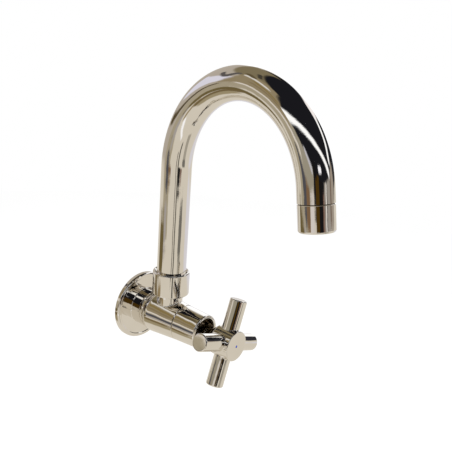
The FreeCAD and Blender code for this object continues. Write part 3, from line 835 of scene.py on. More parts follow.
class TurnedPart(Part):
    """A piece that is turned from one closed section."""

    mesh_name: ClassVar[str]
    steps: ClassVar[int] = TURN_STEPS
    arc_steps: ClassVar[int] = 8

    def section(self) -> list[Corner]:
        """Corners of the section: (radius, station) or (radius, station, rounding)."""
        raise NotImplementedError

    def build(self) -> Piece:
        """Turns the piece from its section."""
        outline = rounded(self.section(), closed=True, arc_steps=self.arc_steps)
        return turned(self.mesh_name, outline, steps=self.steps)


# ---- castings -----------------------------------------------------------------------------------------
@dataclass
class WallFlange(TurnedPart):
    """Dished cover plate with a rounded lip that hides the hole in the wall."""

    node: ClassVar[str] = "wall_flange"
    mesh_name: ClassVar[str] = "flange_plate"
    steps: ClassVar[int] = 144
    arc_steps: ClassVar[int] = 10
    radius: float = 30.5
    lip_depth: float = 4.9
    lip_width: float = 3.2
    lip_step: float = 0.5
    crease_radius: float = 16.3
    crease_depth: float = 5.2
    crease_rounding: float = 0.8
    neck_radius: float = 16.9
    neck_front: float = 19.9
    neck_wall: float = 2.6
    collar_depth: float = 5.5
    sheet: float = 1.6
    bore: float = 10.9

    def section(self) -> list[Corner]:
        """The plate's front from its rim to its neck, then its back."""
        lip_inner = self.radius - self.lip_width
        collar_back = self.neck_front - self.collar_depth
        return [
            (self.radius, 0.0, 0.3),
            (self.radius, self.lip_depth, 1.9),
            (lip_inner, self.lip_depth, 0.4),
            (lip_inner - self.lip_step, self.lip_depth - self.lip_step, 0.25),
            (self.crease_radius, self.crease_depth, self.crease_rounding),
            (self.neck_radius, self.neck_front),
            (self.bore, self.neck_front),
            (self.bore, collar_back, 0.4),
            (self.crease_radius - self.neck_wall, collar_back, 1.0),
            (self.crease_radius - self.sheet, self.crease_depth - self.sheet, 0.8),
            (self.radius - self.sheet, self.lip_depth - self.sheet - 0.4, 1.0),
            (self.radius - self.sheet, 0.0),
        ]


@dataclass
class ValveBody(Part):
    """Tapered cast barrel with an upright neck that carries the spout."""

    node: ClassVar[str] = "valve_body"
    back: float = 19.9
    heel_radius: float = 16.6
    heel_rounding: float = 1.8
    shoulder: float = 23.3
    shoulder_radius: float = 18.14
    shoulder_rounding: float = 9.6
    seam: float = 54.4
    seam_radius: float = 15.7
    seam_swell: float = 0.02
    seam_chamfer: float = 0.25
    bore: float = 10.6
    spigot_radius: float = 13.2
    spigot_end: float = 61.0
    neck_radius: float = 10.8
    neck_fillet: float = 1.2
    neck_start: float = 19.6
    thread_lead: float = 0.6
    seal_lead: float = 0.8
    thread_radius: float = 13.2
    thread_start: float = 26.0
    neck_top: float = 34.0
    seal_bore: float = 8.55
    seal_floor: float = 20.4

    def outside(self) -> list[Point]:
        """Points of the barrel's outside, from its flat back over the shoulder to the seam."""
        corners = [
            (self.bore, self.back),
            (self.heel_radius, self.back, self.heel_rounding),
            (self.shoulder_radius, self.shoulder, self.shoulder_rounding),
            (self.seam_radius + self.seam_swell, self.seam - self.seam_chamfer),
        ]
        return rounded(corners, closed=False, arc_steps=40)

    def side(self, station: np.ndarray) -> np.ndarray:
        """Radius of the barrel at a station."""
        radii, stations = zip(*self.outside()[1:])
        return np.interp(station, stations, radii)

    @property
    def slope(self) -> float:
        """Change of the barrel's radius along its cone."""
        run = self.seam - self.seam_chamfer - self.shoulder
        return (self.seam_radius + self.seam_swell - self.shoulder_radius) / run

    def window(self) -> Window:
        """The window that the neck grows out of."""
        return Window(
            angle=90, station=STEM_STATION, low=24.2, high=49.6, columns=24,
            branch_radius=self.neck_radius, fillet=self.neck_fillet, side=self.side, slope=self.slope,
        )

    def build(self) -> Piece:
        """Turns the barrel, draws the neck out of it and joins the two with a fillet."""
        window = self.window()
        rows = [(float(self.side(station)), station) for station in window.stations()]
        corners = [
            *(point for point in self.outside() if point[1] < window.low - 0.05),
            *rows,
            (self.seam_radius + self.seam_swell, self.seam - self.seam_chamfer),
            (self.seam_radius - self.seam_chamfer, self.seam),
            (self.spigot_radius, self.seam),
            (self.spigot_radius, self.spigot_end),
            (self.bore, self.spigot_end),
        ]
        piece = turned("valve_barrel", corners)
        window.cut(piece)
        rise = [
            (self.neck_radius, self.neck_start),
            (self.neck_radius, self.thread_start - 0.8),
            (self.neck_radius + 0.25, self.thread_start - 0.2),
            (self.neck_radius + 0.6, self.thread_start),
            (self.thread_radius, self.thread_start),
            (self.thread_radius, self.neck_top - self.thread_lead),
            (self.thread_radius - self.thread_lead, self.neck_top),
            (self.seal_bore + self.seal_lead, self.neck_top),
            (self.seal_bore, self.neck_top - self.seal_lead),
            (self.seal_bore, self.seal_floor),
            (1.0, self.seal_floor),
        ]
        join(piece, [window.branch("neck", rise)])
        window.bridge(piece)
        return piece


@dataclass
class BonnetSleeve(TurnedPart):
    """Front cover of the barrel, with an open front round the handle's neck."""

    node: ClassVar[str] = "bonnet_sleeve"
    mesh_name: ClassVar[str] = "sleeve_shell"
    seam: float = 54.4
    seam_radius: float = 15.7
    edge_rounding: float = 0.9
    thread_radius: float = 13.25
    shoulder: float = 61.1
    end: float = 79.0
    end_radius: float = 14.6
    bore: float = 12.1

    def section(self) -> list[Corner]:
        """The sleeve's outside, then its bore and threaded back."""
        return [
            (self.seam_radius, self.seam, self.edge_rounding),
            (self.end_radius, self.end, 1.2),
            (self.bore, self.end, 0.8),
            (self.bore, self.shoulder),
            (self.thread_radius, self.shoulder),
            (self.thread_radius, self.seam),
        ]


@dataclass
class SpoutCollar(TurnedPart):
    """Union nut that holds the swinging spout on the body's neck."""

    node: ClassVar[str] = "spout_collar"
    mesh_name: ClassVar[str] = "collar_nut"
    stand: ClassVar[Place] = Place.STEM
    radius: float = 15.9
    bottom: float = 22.8
    top: float = 43.3
    thread_radius: float = 13.25
    chamber_radius: float = 13.9
    neck_top: float = 34.0
    lip_bottom: float = 38.3
    recess_bottom: float = 41.5
    recess_radius: float = 14.3
    lip_bore: float = 12.8

    def section(self) -> list[Corner]:
        """The collar's outside, then its lip, chamber and thread."""
        return [
            (self.thread_radius, self.bottom, 0.4),
            (self.radius, self.bottom, 1.0),
            (self.radius, self.top, 1.3),
            (self.recess_radius, self.top, 0.1),
            (self.lip_bore, self.recess_bottom, 0.3),
            (self.lip_bore, self.lip_bottom),
            (self.chamber_radius, self.lip_bottom),
            (self.chamber_radius, self.neck_top),
            (self.thread_radius, self.neck_top),
        ]


# ---- handle -------------------------------------------------------------------------------------------
@dataclass
class CrossHandle(Part):
    """Cross handle: a hub with four plain round arms and a slim neck into the sleeve."""

    body: ClassVar[str] = "handle"
    node: ClassVar[str] = "cross_handle"
    stand: ClassVar[Place] = Place.HANDLE
    neck_back: float = 75.2
    neck_radius: float = 6.0
    neck_waist: float = 83.5
    flare_radius: float = 7.0
    flare: float = 88.0
    hub_back: float = 94.2
    hub_face: float = 112.8
    hub_radius: float = 12.5
    bore: float = 4.1
    bore_end: float = 94.0
    dot_radius: float = 1.1
    dot_depth: float = 1.2
    arm_radius: float = 7.1
    arm_length: float = 36.3
    arm_first_share: float = 0.36
    arm_station: float = 102.5
    arm_rounding: float = 1.0
    arm_fillet: float = 0.5
    grub_angle: float = -45.0
    grub_station: float = 90.4
    grub_radius: float = 1.8
    grub_mouth: float = 7.9
    grub_floor: float = 4.3

    def hub_side(self, station: np.ndarray) -> np.ndarray:
        """Radius of the hub's round side at a station."""
        return np.full_like(np.asarray(station, dtype=float), self.hub_radius)

    @property
    def cone_slope(self) -> float:
        """Change of the hub's back cone along it."""
        return (self.hub_radius - self.flare_radius) / (self.hub_back - self.flare)

    def cone_side(self, station: np.ndarray) -> np.ndarray:
        """Radius of the hub's back cone at a station."""
        return self.flare_radius + self.cone_slope * (np.asarray(station, dtype=float) - self.flare)

    def arm_windows(self) -> list[Window]:
        """The windows that the four arms grow out of."""
        return [
            Window(
                angle=angle, station=self.arm_station, low=94.86, high=112.0, columns=22,
                branch_radius=self.arm_radius, fillet=self.arm_fillet, side=self.hub_side,
            )
            for angle in (0, 90, 180, 270)
        ]

    def grub_window(self) -> Window:
        """The window of the grub screw's hole, in the back cone."""
        return Window(
            angle=self.grub_angle, station=self.grub_station, low=88.59, high=92.6, columns=10,
            branch_radius=self.grub_radius, fillet=0.0, side=self.cone_side, slope=self.cone_slope,
        )

    def build(self) -> Piece:
        """Turns the hub, draws the arms out of it and sinks the grub screw's hole."""
        arms = self.arm_windows()
        hole = self.grub_window()
        hub_rows = [(self.hub_radius, station) for station in arms[0].stations()]
        cone_rows = [(float(self.cone_side(station)), station) for station in hole.stations()]
        corners = [
            (0.0, self.bore_end),
            (self.bore, self.bore_end),
            (self.bore, self.neck_back),
            (self.neck_radius, self.neck_back, 0.5),
            (self.neck_radius, self.neck_waist, 3.0),
            (self.flare_radius, self.flare, 3.0),
            *cone_rows,
            (self.hub_radius, self.hub_back, 1.6),
            *hub_rows,
            (self.hub_radius, self.hub_face, 0.7),
            (self.dot_radius, self.hub_face, 0.06),
            (self.dot_radius, self.hub_face - self.dot_depth),
            (0.0, self.hub_face - self.dot_depth),
        ]
        piece = turned("handle_cross", rounded(corners, closed=False, arc_steps=12), closed=False)
        for window in (*arms, hole):
            window.cut(piece)
        end = [
            (self.arm_radius, self.arm_length * self.arm_first_share),
            (self.arm_radius, self.arm_length, self.arm_rounding),
            (0.4, self.arm_length),
        ]
        grown = [window.branch("arm", rounded(end, closed=False, arc_steps=10)) for window in arms]
        sunk = [
            (self.grub_radius, self.grub_mouth),
            (self.grub_radius, self.grub_floor),
            (0.3, self.grub_floor),
        ]
        join(piece, [*grown, hole.branch("grub_hole", sunk)])
        for window in (*arms, hole):
            window.bridge(piece, cuts=4 if window.fillet else 2)
        return piece


# ---- spout --------------------------------------------------------------------------------------------
@dataclass
class SpoutTube(Part):
    """Gooseneck: one drawn tube with a stem, a wide bend and a short straight mouth."""

    body: ClassVar[str] = "spout"
    node: ClassVar[str] = "spout_tube"
    stand: ClassVar[Place] = Place.SPOUT
    radius: float = 12.5
    wall: float = 1.2
    bottom: float = 36.7
    mouth_length: float = 9.4
    stem_rings: int = 13
    around: int = OUTLET_STEPS
    bend_steps: int = 130

    def build(self) -> Piece:
        """Extrudes the stem, spins the bend and extrudes the mouth, outside and inside at once."""
        deselect_everything()
        bpy.ops.mesh.primitive_circle_add(vertices=self.around, radius=self.radius * MM,
                                          location=(0, 0, self.bottom * MM))
        piece = bpy.context.object
        piece.name = piece.data.name = "gooseneck"
        bpy.ops.object.transform_apply(location=True, rotation=False, scale=False)
        edit(piece)
        bpy.ops.mesh.primitive_circle_add(vertices=self.around, radius=(self.radius - self.wall) * MM,
                                          location=(0, 0, self.bottom * MM))
        bpy.ops.mesh.select_all(action="SELECT")
        stations = np.linspace(self.bottom, BEND_START, self.stem_rings)
        for last, station in zip(stations, stations[1:]):
            bpy.ops.mesh.extrude_region_move(TRANSFORM_OT_translate={"value": (0, 0, (station - last) * MM)})
        bend = math.radians(BEND_ANGLE)
        centre = (BEND_RADIUS * MM, 0, BEND_START * MM)
        bpy.ops.mesh.spin(steps=self.bend_steps, angle=bend, center=centre, axis=(0, -1, 0))
        leave = Vector((math.sin(bend), 0, math.cos(bend)))
        way = leave * self.mouth_length / 2 * MM
        for _ in range(2):
            bpy.ops.mesh.extrude_region_move(TRANSFORM_OT_translate={"value": way})
        bpy.ops.mesh.select_all(action="SELECT")
        bpy.ops.mesh.remove_doubles(threshold=MERGE_DISTANCE)
        self.close_end(piece, bend_end() + leave * self.mouth_length * MM)
        self.close_end(piece, Vector((0, 0, self.bottom * MM)))
        close_edit()
        return piece

    def close_end(self, piece: Piece, centre: Vector) -> None:
        """Draws the outer rim in onto the inner one at one end of the tube.

        Args:
            piece: The tube, in edit mode.
            centre: The middle of the end, in metres.
        """
        select_open_edges()
        middle_radius = (self.radius - self.wall / 2) * MM
        for edge in piece.data.edges:
            distance = (piece.data.vertices[edge.vertices[0]].co - centre).length
            edge.select = edge.select and middle_radius < distance < 2 * middle_radius
        bpy.ops.object.mode_set(mode="EDIT")
        scale = (self.radius - self.wall) / self.radius
        bpy.ops.mesh.extrude_region_move()
        bpy.ops.transform.resize(value=(scale, scale, scale), center_override=centre)
        bpy.ops.mesh.select_all(action="SELECT")
        bpy.ops.mesh.remove_doubles(threshold=MERGE_DISTANCE)


@dataclass
class AeratorHousing(TurnedPart):
    """Screw-on ring at the outlet that holds the jet insert and the screen."""

    body: ClassVar[str] = "spout"
    node: ClassVar[str] = "aerator_housing"
    stand: ClassVar[Place] = Place.MOUTH
    mesh_name: ClassVar[str] = "outlet_ring"
    steps: ClassVar[int] = OUTLET_STEPS
    thread_radius: float = 11.05
    top: float = 10.0
    length: float = 18.2
    radius: float = 12.45
    chamfer: float = 0.3
    edge_rounding: float = 1.5
    mouth_radius: float = 10.3
    seat: float = 20.6

    def section(self) -> list[Corner]:
        """The housing's outside, then its open mouth and thread."""
        bottom = self.top + self.length
        return [
            (self.thread_radius, self.top),
            (self.radius - self.chamfer, self.top),
            (self.radius, self.top + self.chamfer),
            (self.radius, bottom, self.edge_rounding),
            (self.mouth_radius, bottom, 0.4),
            (self.mouth_radius, self.seat),
            (self.thread_radius, self.seat),
        ]


# ---- small pieces ---------------------------------------------------------------------------------------
def ring_loop(radius: float, station: float, points: int = TURN_STEPS) -> np.ndarray:
    """Round loop about a piece's own axis, in millimetres."""
    angles = np.arange(points) * math.tau / points
    return np.stack([radius * np.cos(angles), radius * np.sin(angles), np.full(points, station)], axis=1)


def hexagon_radii(flats: float, points: int) -> np.ndarray:
    """Distances of evenly turned points on a hexagon given across its flats."""
    turn = (np.arange(points) * math.tau / points + math.pi / 6) % (math.pi / 3) - math.pi / 6
    return flats / 2 / np.cos(turn)


def hexagon_loop(flats: float, station: float, points: int = TURN_STEPS) -> np.ndarray:
    """Hexagonal loop about a piece's own axis, in millimetres."""
    loop = ring_loop(1.0, station, points)
    loop[:, :2] *= hexagon_radii(flats, points)[:, None]
    return loop


@dataclass
class InletNipple(Part):
    """Brass tail with a half-inch pipe thread that goes into the wall's fitting."""

    node: ClassVar[str] = "inlet_nipple"
    slot: ClassVar[str] = "bare_brass"
    major_radius: float = 10.46
    root_radius: float = 9.34
    pitch: float = 1.814
    wall_end: float = -15.0
    waist_radius: float = 9.6
    waist_start: float = 0.8
    waist_end: float = 13.2
    front: float = 27.0
    lead: float = 0.8
    tip_lead: float = 0.6
    bore: float = 6.2
    key_flats: float = 14.0
    key_depth: float = 9.0
    thread_turns: int = 7

    def build(self) -> Piece:
        """Draws the core along its rings and winds the thread round it."""
        outline = [
            (self.bore, self.front),
            (self.major_radius - self.lead, self.front),
            (self.major_radius, self.front - self.lead),
            (self.major_radius, self.waist_end + self.lead),
            (self.waist_radius, self.waist_end),
            (self.waist_radius, self.waist_start + 0.4),
            (self.root_radius, self.waist_start),
            (self.root_radius, self.wall_end + self.tip_lead),
            (self.root_radius - 0.5, self.wall_end),
        ]
        loops = [ring_loop(radius, station) for radius, station in outline]
        socket_floor = self.wall_end + self.key_depth
        loops += [
            hexagon_loop(self.key_flats, self.wall_end),
            hexagon_loop(self.key_flats, socket_floor),
            ring_loop(self.bore, socket_floor - 0.4),
            ring_loop(self.bore, self.front),
        ]
        core = lofted("inlet_tail", loops, cap_start=False, cap_end=False)
        return join(core, [self.thread()])

    def thread(self) -> Piece:
        """Winds one tooth of the pipe thread along the tail."""
        half_base = self.pitch * 0.46
        sunk_root = self.root_radius - 0.12
        crest_edge = self.major_radius - 0.1
        half_crest = 0.17
        tooth = [
            (sunk_root, -half_base),
            (crest_edge, -half_crest),
            (self.major_radius, 0.0),
            (crest_edge, half_crest),
            (sunk_root, half_base),
        ]
        start = self.wall_end + self.tip_lead + half_base
        ridge = draw_outline("thread", [(radius, start + station) for radius, station in tooth], closed=True)
        close_edit()
        screw = ridge.modifiers.new("winding", "SCREW")
        screw.axis = "Z"
        screw.angle = math.tau
        screw.screw_offset = self.pitch * MM
        screw.iterations = self.thread_turns
        screw.steps = screw.render_steps = 64
        screw.use_merge_vertices = False
        bpy.ops.object.modifier_apply(modifier=screw.name)
        edit(ridge)
        bpy.ops.mesh.fill_holes(sides=12)
        bpy.ops.mesh.normals_make_consistent(inside=False)
        close_edit()
        return ridge


@dataclass
class IndexDot(Part):
    """Blue enamel dot let into the middle of the hub's face, crowned a little."""

    body: ClassVar[str] = "handle"
    node: ClassVar[str] = "handle_index_dot"
    stand: ClassVar[Place] = Place.HANDLE
    slot: ClassVar[str] = "blue_index"
    radius: float = 1.08
    floor: float = 111.65
    rim: float = 112.6
    crown: float = 112.74

    def build(self) -> Piece:
        """Turns the dot from its section."""
        outline = [(0.0, self.floor), (self.radius, self.floor), (self.radius, self.rim - 0.05)]
        for share in (0.97, 0.9, 0.75, 0.55, 0.35, 0.18, 0.0):
            height = self.crown - (self.crown - self.rim) * share ** 2
            outline.append((self.radius * share, height))
        return turned("index_enamel", outline, closed=False, steps=TURN_STEPS // 2)


@dataclass
class GrubScrew(Part):
    """Headless screw with a hexagon socket that holds the handle on the spindle."""

    body: ClassVar[str] = "handle"
    node: ClassVar[str] = "handle_grub_screw"
    stand: ClassVar[Place] = Place.HANDLE
    slot: ClassVar[str] = "plain_steel"
    radius: float = 1.74
    inner_end: float = 4.35
    outer_end: float = 7.95
    chamfer: float = 0.25
    socket_flats: float = 2.0
    socket_depth: float = 2.0

    def build(self) -> Piece:
        """Draws the screw along the hole's axis."""
        window = CrossHandle().grub_window()
        hexagon = hexagon_radii(self.socket_flats, window.ring_points)
        floor = self.outer_end - self.socket_depth
        rows = [
            (self.inner_end, self.radius - self.chamfer),
            (self.inner_end + self.chamfer, self.radius),
            (self.outer_end - self.chamfer, self.radius),
            (self.outer_end, self.radius - self.chamfer),
            (self.outer_end, hexagon),
            (floor, hexagon),
        ]
        loops = [window.branch_loop(out, radius) for out, radius in rows]
        return lofted("grub_screw", loops, cap_start=True, cap_end=True)


@dataclass
class OutletNipple(TurnedPart):
    """Threaded bush in the tube's mouth; only its shoulder shows, painted near-black as the shade in the
    groove.
    """

    body: ClassVar[str] = "spout"
    node: ClassVar[str] = "outlet_nipple"
    stand: ClassVar[Place] = Place.MOUTH
    slot: ClassVar[str] = "bare_brass"
    # painted shade: the shoulder's brass is darkened so the groove between tube and housing reads as a dark
    # line
    finish: ClassVar[str] = "painted_groove_shade_brass"
    mesh_name: ClassVar[str] = "outlet_bush"
    steps: ClassVar[int] = OUTLET_STEPS
    bore: float = 9.3
    back: float = 1.4
    plug_radius: float = 11.28
    shoulder_radius: float = 11.7
    tube_end: float = 9.4
    shoulder: float = 10.0
    thread_radius: float = 10.98
    end: float = 17.6

    def section(self) -> list[Corner]:
        """The bush's plug, shoulder and thread."""
        return [
            (self.bore, self.back),
            (self.plug_radius, self.back, 0.3),
            (self.plug_radius, self.tube_end),
            (self.shoulder_radius, self.tube_end),
            (self.shoulder_radius, self.shoulder),
            (self.thread_radius, self.shoulder),
            (self.thread_radius, self.end, 0.4),
            (self.bore, self.end, 0.2),
        ]


@dataclass
class WovenScreen(Part):
    """Fine woven wire screen across the outlet, in a pressed rim."""

    body: ClassVar[str] = "spout"
    node: ClassVar[str] = "aerator_screen"
    stand: ClassVar[Place] = Place.MOUTH
    slot: ClassVar[str] = "plain_steel"
    radius: float = 10.15
    station: float = 27.2
    wire: float = 0.12
    pitch: float = 0.85
    crimp: float = 0.1
    rim_width: float = 0.9
    rim_half_height: float = 0.2
    wire_setback: float = 0.45
    wire_sides: int = 6

    def build(self) -> Piece:
        """Weaves the wires both ways and sets them in their rim."""
        inner = self.radius - self.rim_width
        back = self.station - self.rim_half_height
        front = self.station + self.rim_half_height
        section = [
            (inner, back),
            (self.radius, back, 0.08),
            (self.radius, front, 0.12),
            (inner, front, 0.12),
        ]
        rim = turned("screen_mesh", rounded(section, closed=True, arc_steps=4))
        master = self.wire_along_x()
        wires = []
        count = int(inner / self.pitch)
        for crosswise in (False, True):
            for row in range(-count, count + 1):
                wires.append(self.laid_wire(master, row, crosswise))
        bpy.data.objects.remove(master)
        return join(rim, wires)

    def wire_along_x(self) -> Piece:
        """Draws one crimped wire that goes over and under its neighbours."""
        reach = int(self.radius / self.pitch) + 1
        angles = np.arange(self.wire_sides) * math.tau / self.wire_sides
        loops = []
        for step in range(-2 * reach, 2 * reach + 1):
            height = self.crimp * math.cos(math.pi * step / 2)
            ring = np.stack([
                np.full(self.wire_sides, step * self.pitch / 2),
                self.wire * np.cos(angles),
                height + self.wire * np.sin(angles),
            ], axis=1)
            loops.append(ring)
        return lofted("wire", loops, cap_start=True, cap_end=True)

    def laid_wire(self, master: Piece, row: int, crosswise: bool) -> Piece:
        """Copies the wire to its row and trims it to the rim.

        Args:
            master: The wire along X.
            row: The row's number from the middle.
            crosswise: Whether the wire runs along Y.

        Returns:
            The trimmed copy.
        """
        wire = master.copy()
        wire.data = master.data.copy()
        bpy.context.scene.collection.objects.link(wire)
        half_chord = math.sqrt((self.radius - self.wire_setback) ** 2 - (row * self.pitch) ** 2)
        over_first = (row % 2 == 0) != crosswise
        points = coordinates(wire)
        if not over_first:
            points[:, 2] *= -1
        points[:, 1] += row * self.pitch * MM
        points[:, 2] += self.station * MM
        set_coordinates(wire, points)
        edit(wire)
        for side in (-1, 1):
            bpy.ops.mesh.select_all(action="SELECT")
            bpy.ops.mesh.bisect(plane_co=(side * half_chord * MM, 0, 0), plane_no=(side, 0, 0),
                                use_fill=True, clear_outer=True)
        bpy.ops.mesh.select_all(action="SELECT")
        bpy.ops.mesh.normals_make_consistent(inside=False)
        close_edit()
        if crosswise:
            wire.data.transform(Matrix.Rotation(math.radians(90), 4, "Z"))
        return wire


# ---- studio ---------------------------------------------------------------------------------------------
@dataclass(frozen=True)
class PhotoCamera:
    """The camera at the photograph's viewing angle, for a frame of 452 by 452 points."""

    spot: tuple[float, float, float] = (-0.337566, -0.358736, 0.220903)
    azimuth: float = -51.8207
    elevation: float = 16.1976
    roll: float = -4.3816
    focal_points: float = 575.5446
    frame_points: float = 452.0

    def place(self) -> None:
        """Sets up the camera and makes it the scene's own."""
        azimuth, elevation, roll = (math.radians(a) for a in (self.azimuth, self.elevation, self.roll))
        back = Vector((math.sin(azimuth) * math.cos(elevation), -math.cos(azimuth) * math.cos(elevation),
                       math.sin(elevation)))
        right = Vector((math.cos(azimuth), math.sin(azimuth), 0))
        up = back.cross(right)
        level = Matrix((right, up, back)).transposed()
        lens = bpy.data.cameras.new("photo_camera")
        lens.sensor_width = 36.0
        lens.lens = self.focal_points / self.frame_points * lens.sensor_width
        lens.shift_x = -0.5 / self.frame_points
        lens.shift_y = 0.5 / self.frame_points
        lens.clip_start, lens.clip_end = 0.01, 50.0
        camera = bpy.data.objects.new("photo_camera", lens)
        turn = level @ Matrix.Rotation(-roll, 3, "Z")
        camera.matrix_world = Matrix.Translation(self.spot) @ turn.to_4x4()
        bpy.context.scene.collection.objects.link(camera)
        bpy.context.scene.camera = camera


def bearing(longitude: float, latitude: float) -> np.ndarray:
    """Direction from the faucet, with longitude 0 straight in front of the wall and 90 to the right."""
    lon, lat = math.radians(longitude), math.radians(latitude)
    return np.array([math.sin(lon) * math.cos(lat), -math.cos(lon) * math.cos(lat), math.sin(lat)])


def eased(share: np.ndarray) -> np.ndarray:
    """Smooth step from 0 to 1."""
    share = np.clip(share, 0, 1)
    return share * share * (3 - 2 * share)


@dataclass(frozen=True)
class Strip:
    """A long narrow lamp or flag, laid along a great circle; angles are in degrees."""

    start: tuple[float, float]
    end: tuple[float, float]
    width: float
    soft: float
    colour: Colour

    def cover(self, ways: np.ndarray) -> np.ndarray:
        """Share of the strip in each direction.

        Args:
            ways: Directions from the faucet, one in each row.

        Returns:
            Shares from 0 to 1.
        """
        first, last = bearing(*self.start), bearing(*self.end)
        pole = np.cross(first, last)
        pole /= np.linalg.norm(pole)
        length = math.degrees(math.acos(float(np.clip(first @ last, -1, 1))))
        off = np.degrees(np.arcsin(np.clip(ways @ pole, -1, 1)))
        along = np.degrees(np.arctan2(ways @ np.cross(pole, first), ways @ first))
        beyond = np.clip(np.maximum(-along, along - length), 0, 90)
        return eased(1 - (np.hypot(off, beyond) - self.width / 2) / self.soft)


@dataclass(frozen=True)
class Panel:
    """A square-cornered card or flag; angles are in degrees."""

    centre: tuple[float, float]
    size: tuple[float, float]
    soft: float
    colour: Colour
    tilt: float = 0.0

    def cover(self, ways: np.ndarray) -> np.ndarray:
        """Share of the card in each direction.

        Args:
            ways: Directions from the faucet, one in each row.

        Returns:
            Shares from 0 to 1.
        """
        middle, east = bearing(*self.centre), bearing(self.centre[0] + 90, 0)
        north = np.cross(east, middle)
        north *= math.copysign(1, north[2])
        tilt = math.radians(self.tilt)
        right = math.cos(tilt) * east + math.sin(tilt) * north
        up = math.cos(tilt) * north - math.sin(tilt) * east
        x, y, ahead = ways @ right, ways @ up, ways @ middle
        reach = np.hypot(x, y)
        angle = np.degrees(np.arctan2(reach, ahead)) / (reach + 1e-12)
        across = eased(1 - (np.abs(angle * x) - self.size[0] / 2) / self.soft)
        return across * eased(1 - (np.abs(angle * y) - self.size[1] / 2) / self.soft)


CARDS: dict[str, Strip | Panel] = {
    "back_wall": Panel((168, 20), (92, 52), 3, (0.52, 0.47, 0.41)),
    "back_wall_top": Panel((172, 58), (62, 22), 4, (0.24, 0.20, 0.12)),
    "lavender_wall": Panel((-166, 20), (42, 14), 2.5, (0.82, 0.82, 0.97)),
    "left_field": Panel((-124, -2), (44, 34), 3, (0.44, 0.39, 0.29)),
    "side_field": Panel((-134, 30), (26, 44), 4, (0.33, 0.27, 0.17)),
    "wall_foot": Strip((-188, 4), (-148, 1), 3, 1.5, (0.10, 0.075, 0.036)),
    "grey_field": Panel((-92, 4), (50, 18), 3, (0.38, 0.35, 0.28)),
    "field_brown": Strip((-107, -7), (-93, -7), 6, 3, (0.23, 0.14, 0.076)),
    "field_pale": Strip((-84, -7), (-70, -3), 6, 2, (0.76, 0.72, 0.70)),
    "side_pale_high": Strip((-150, 45), (-127, 41), 3.5, 2, (0.82, 0.80, 0.77)),
    "side_brown_high": Strip((-158, 52), (-146, 49), 4, 2, (0.13, 0.10, 0.051)),
    "side_brown_a": Strip((-136, 35), (-122, 27), 3, 2, (0.27, 0.20, 0.080)),
    "side_brown_b": Strip((-136, 24), (-118, 17), 4, 2, (0.27, 0.21, 0.12)),
    "side_pale_low": Strip((-141, 6), (-116, 3), 4.5, 1.5, (0.79, 0.74, 0.68)),
    "side_dark_low": Strip((-127, -7), (-114, -8), 8, 2, (0.095, 0.094, 0.11)),
    "side_grey_low": Strip((-128, -18), (-114, -18), 5, 2, (0.44, 0.41, 0.40)),
    "side_line_low": Strip((-130, -29), (-116, -29), 3, 2, (0.33, 0.25, 0.14)),
    "ochre_card": Panel((-47, 3), (17, 20), 2, (0.077, 0.041, 0.006)),
    "black_high": Panel((-57, 15), (14, 8), 2, (0.011, 0.010, 0.011)),
    "black_card": Panel((-29, -1), (17, 23), 2, (0.011, 0.010, 0.011)),
    "rose_card": Panel((-13, -3), (9, 16), 2, (0.23, 0.14, 0.11)),
    "stripe_field": Panel((-4, 4), (12, 12), 2, (0.34, 0.31, 0.28)),
    "stripe_pale": Strip((0, 1), (1, 9), 3, 1.5, (1.04, 1.01, 0.99)),
    "grey_right": Panel((17, 5), (18, 11), 3, (0.38, 0.35, 0.32)),
    "stripe_brown_right": Strip((31, -1), (33, 9), 6, 2, (0.22, 0.16, 0.12)),
    "lamp_row_a": Strip((-90, 15), (-70, 12), 3, 2, (0.61, 0.61, 0.68)),
    "lamp_row_b": Strip((-34, 19.5), (-22, 20), 3, 2, (1.20, 1.22, 1.33)),
    "sheet_edge": Strip((4, -2), (44, -4), 3, 2, (0.91, 0.90, 0.85)),
    "beige_right": Panel((47, 5), (20, 16), 2, (0.39, 0.34, 0.29)),
    "dark_right": Strip((65, 3), (85, 9), 7, 2.5, (0.034, 0.035, 0.044)),
    "right_lamp_a": Strip((44, 20), (60, 27), 6, 3, (1.25, 1.28, 1.33)),
    "right_lamp_b": Strip((60, 27), (76, 37), 9, 3, (1.25, 1.28, 1.33)),
    "right_lamp_c": Strip((76, 37), (92, 27), 9, 4, (1.09, 1.05, 1.08)),
    "side_lamp": Panel((112, 12), (30, 36), 5, (1.25, 1.28, 1.33)),
    "stand_left": Strip((-50, -5), (-51, -26), 3, 1.5, (0.18, 0.16, 0.14)),
    "stand_right": Strip((-37, -12), (-38, -38), 5, 2, (0.14, 0.13, 0.11)),
    "floor_grey": Panel((5, -38), (16, 30), 3, (0.43, 0.40, 0.34)),
    "floor_dark": Strip((-4, -19), (12, -18), 6, 2, (0.20, 0.19, 0.17)),
    "floor_brown": Strip((-162, -20), (-133, -21), 7, 2.5, (0.17, 0.13, 0.055)),
    "floor_brown_low": Strip((-156, -28), (-128, -35), 7, 3, (0.19, 0.14, 0.067)),
    "sheet_shade": Strip((-162, -37), (-132, -44), 9, 5, (0.38, 0.32, 0.20)),
    "sheet_line_pale": Strip((-108, -33), (-66, -39), 3, 2, (1.14, 1.15, 1.21)),
    "sheet_cool": Strip((62, -17), (135, -17), 10, 5, (0.79, 0.78, 0.85)),
    "main_lamp": Strip((-115, 20), (26, 15), 4.5, 3, (1.25, 1.28, 1.33)),
    "frame_dark_a": Strip((-176, 36), (-156, 27), 3, 1.5, (0.12, 0.11, 0.11)),
    "frame_dark_b": Strip((-157, 29), (-162, 44), 3.5, 1.5, (0.12, 0.11, 0.11)),
    "frame_dark_high": Strip((-173, 66), (-147, 60), 4, 2, (0.068, 0.059, 0.044)),
}


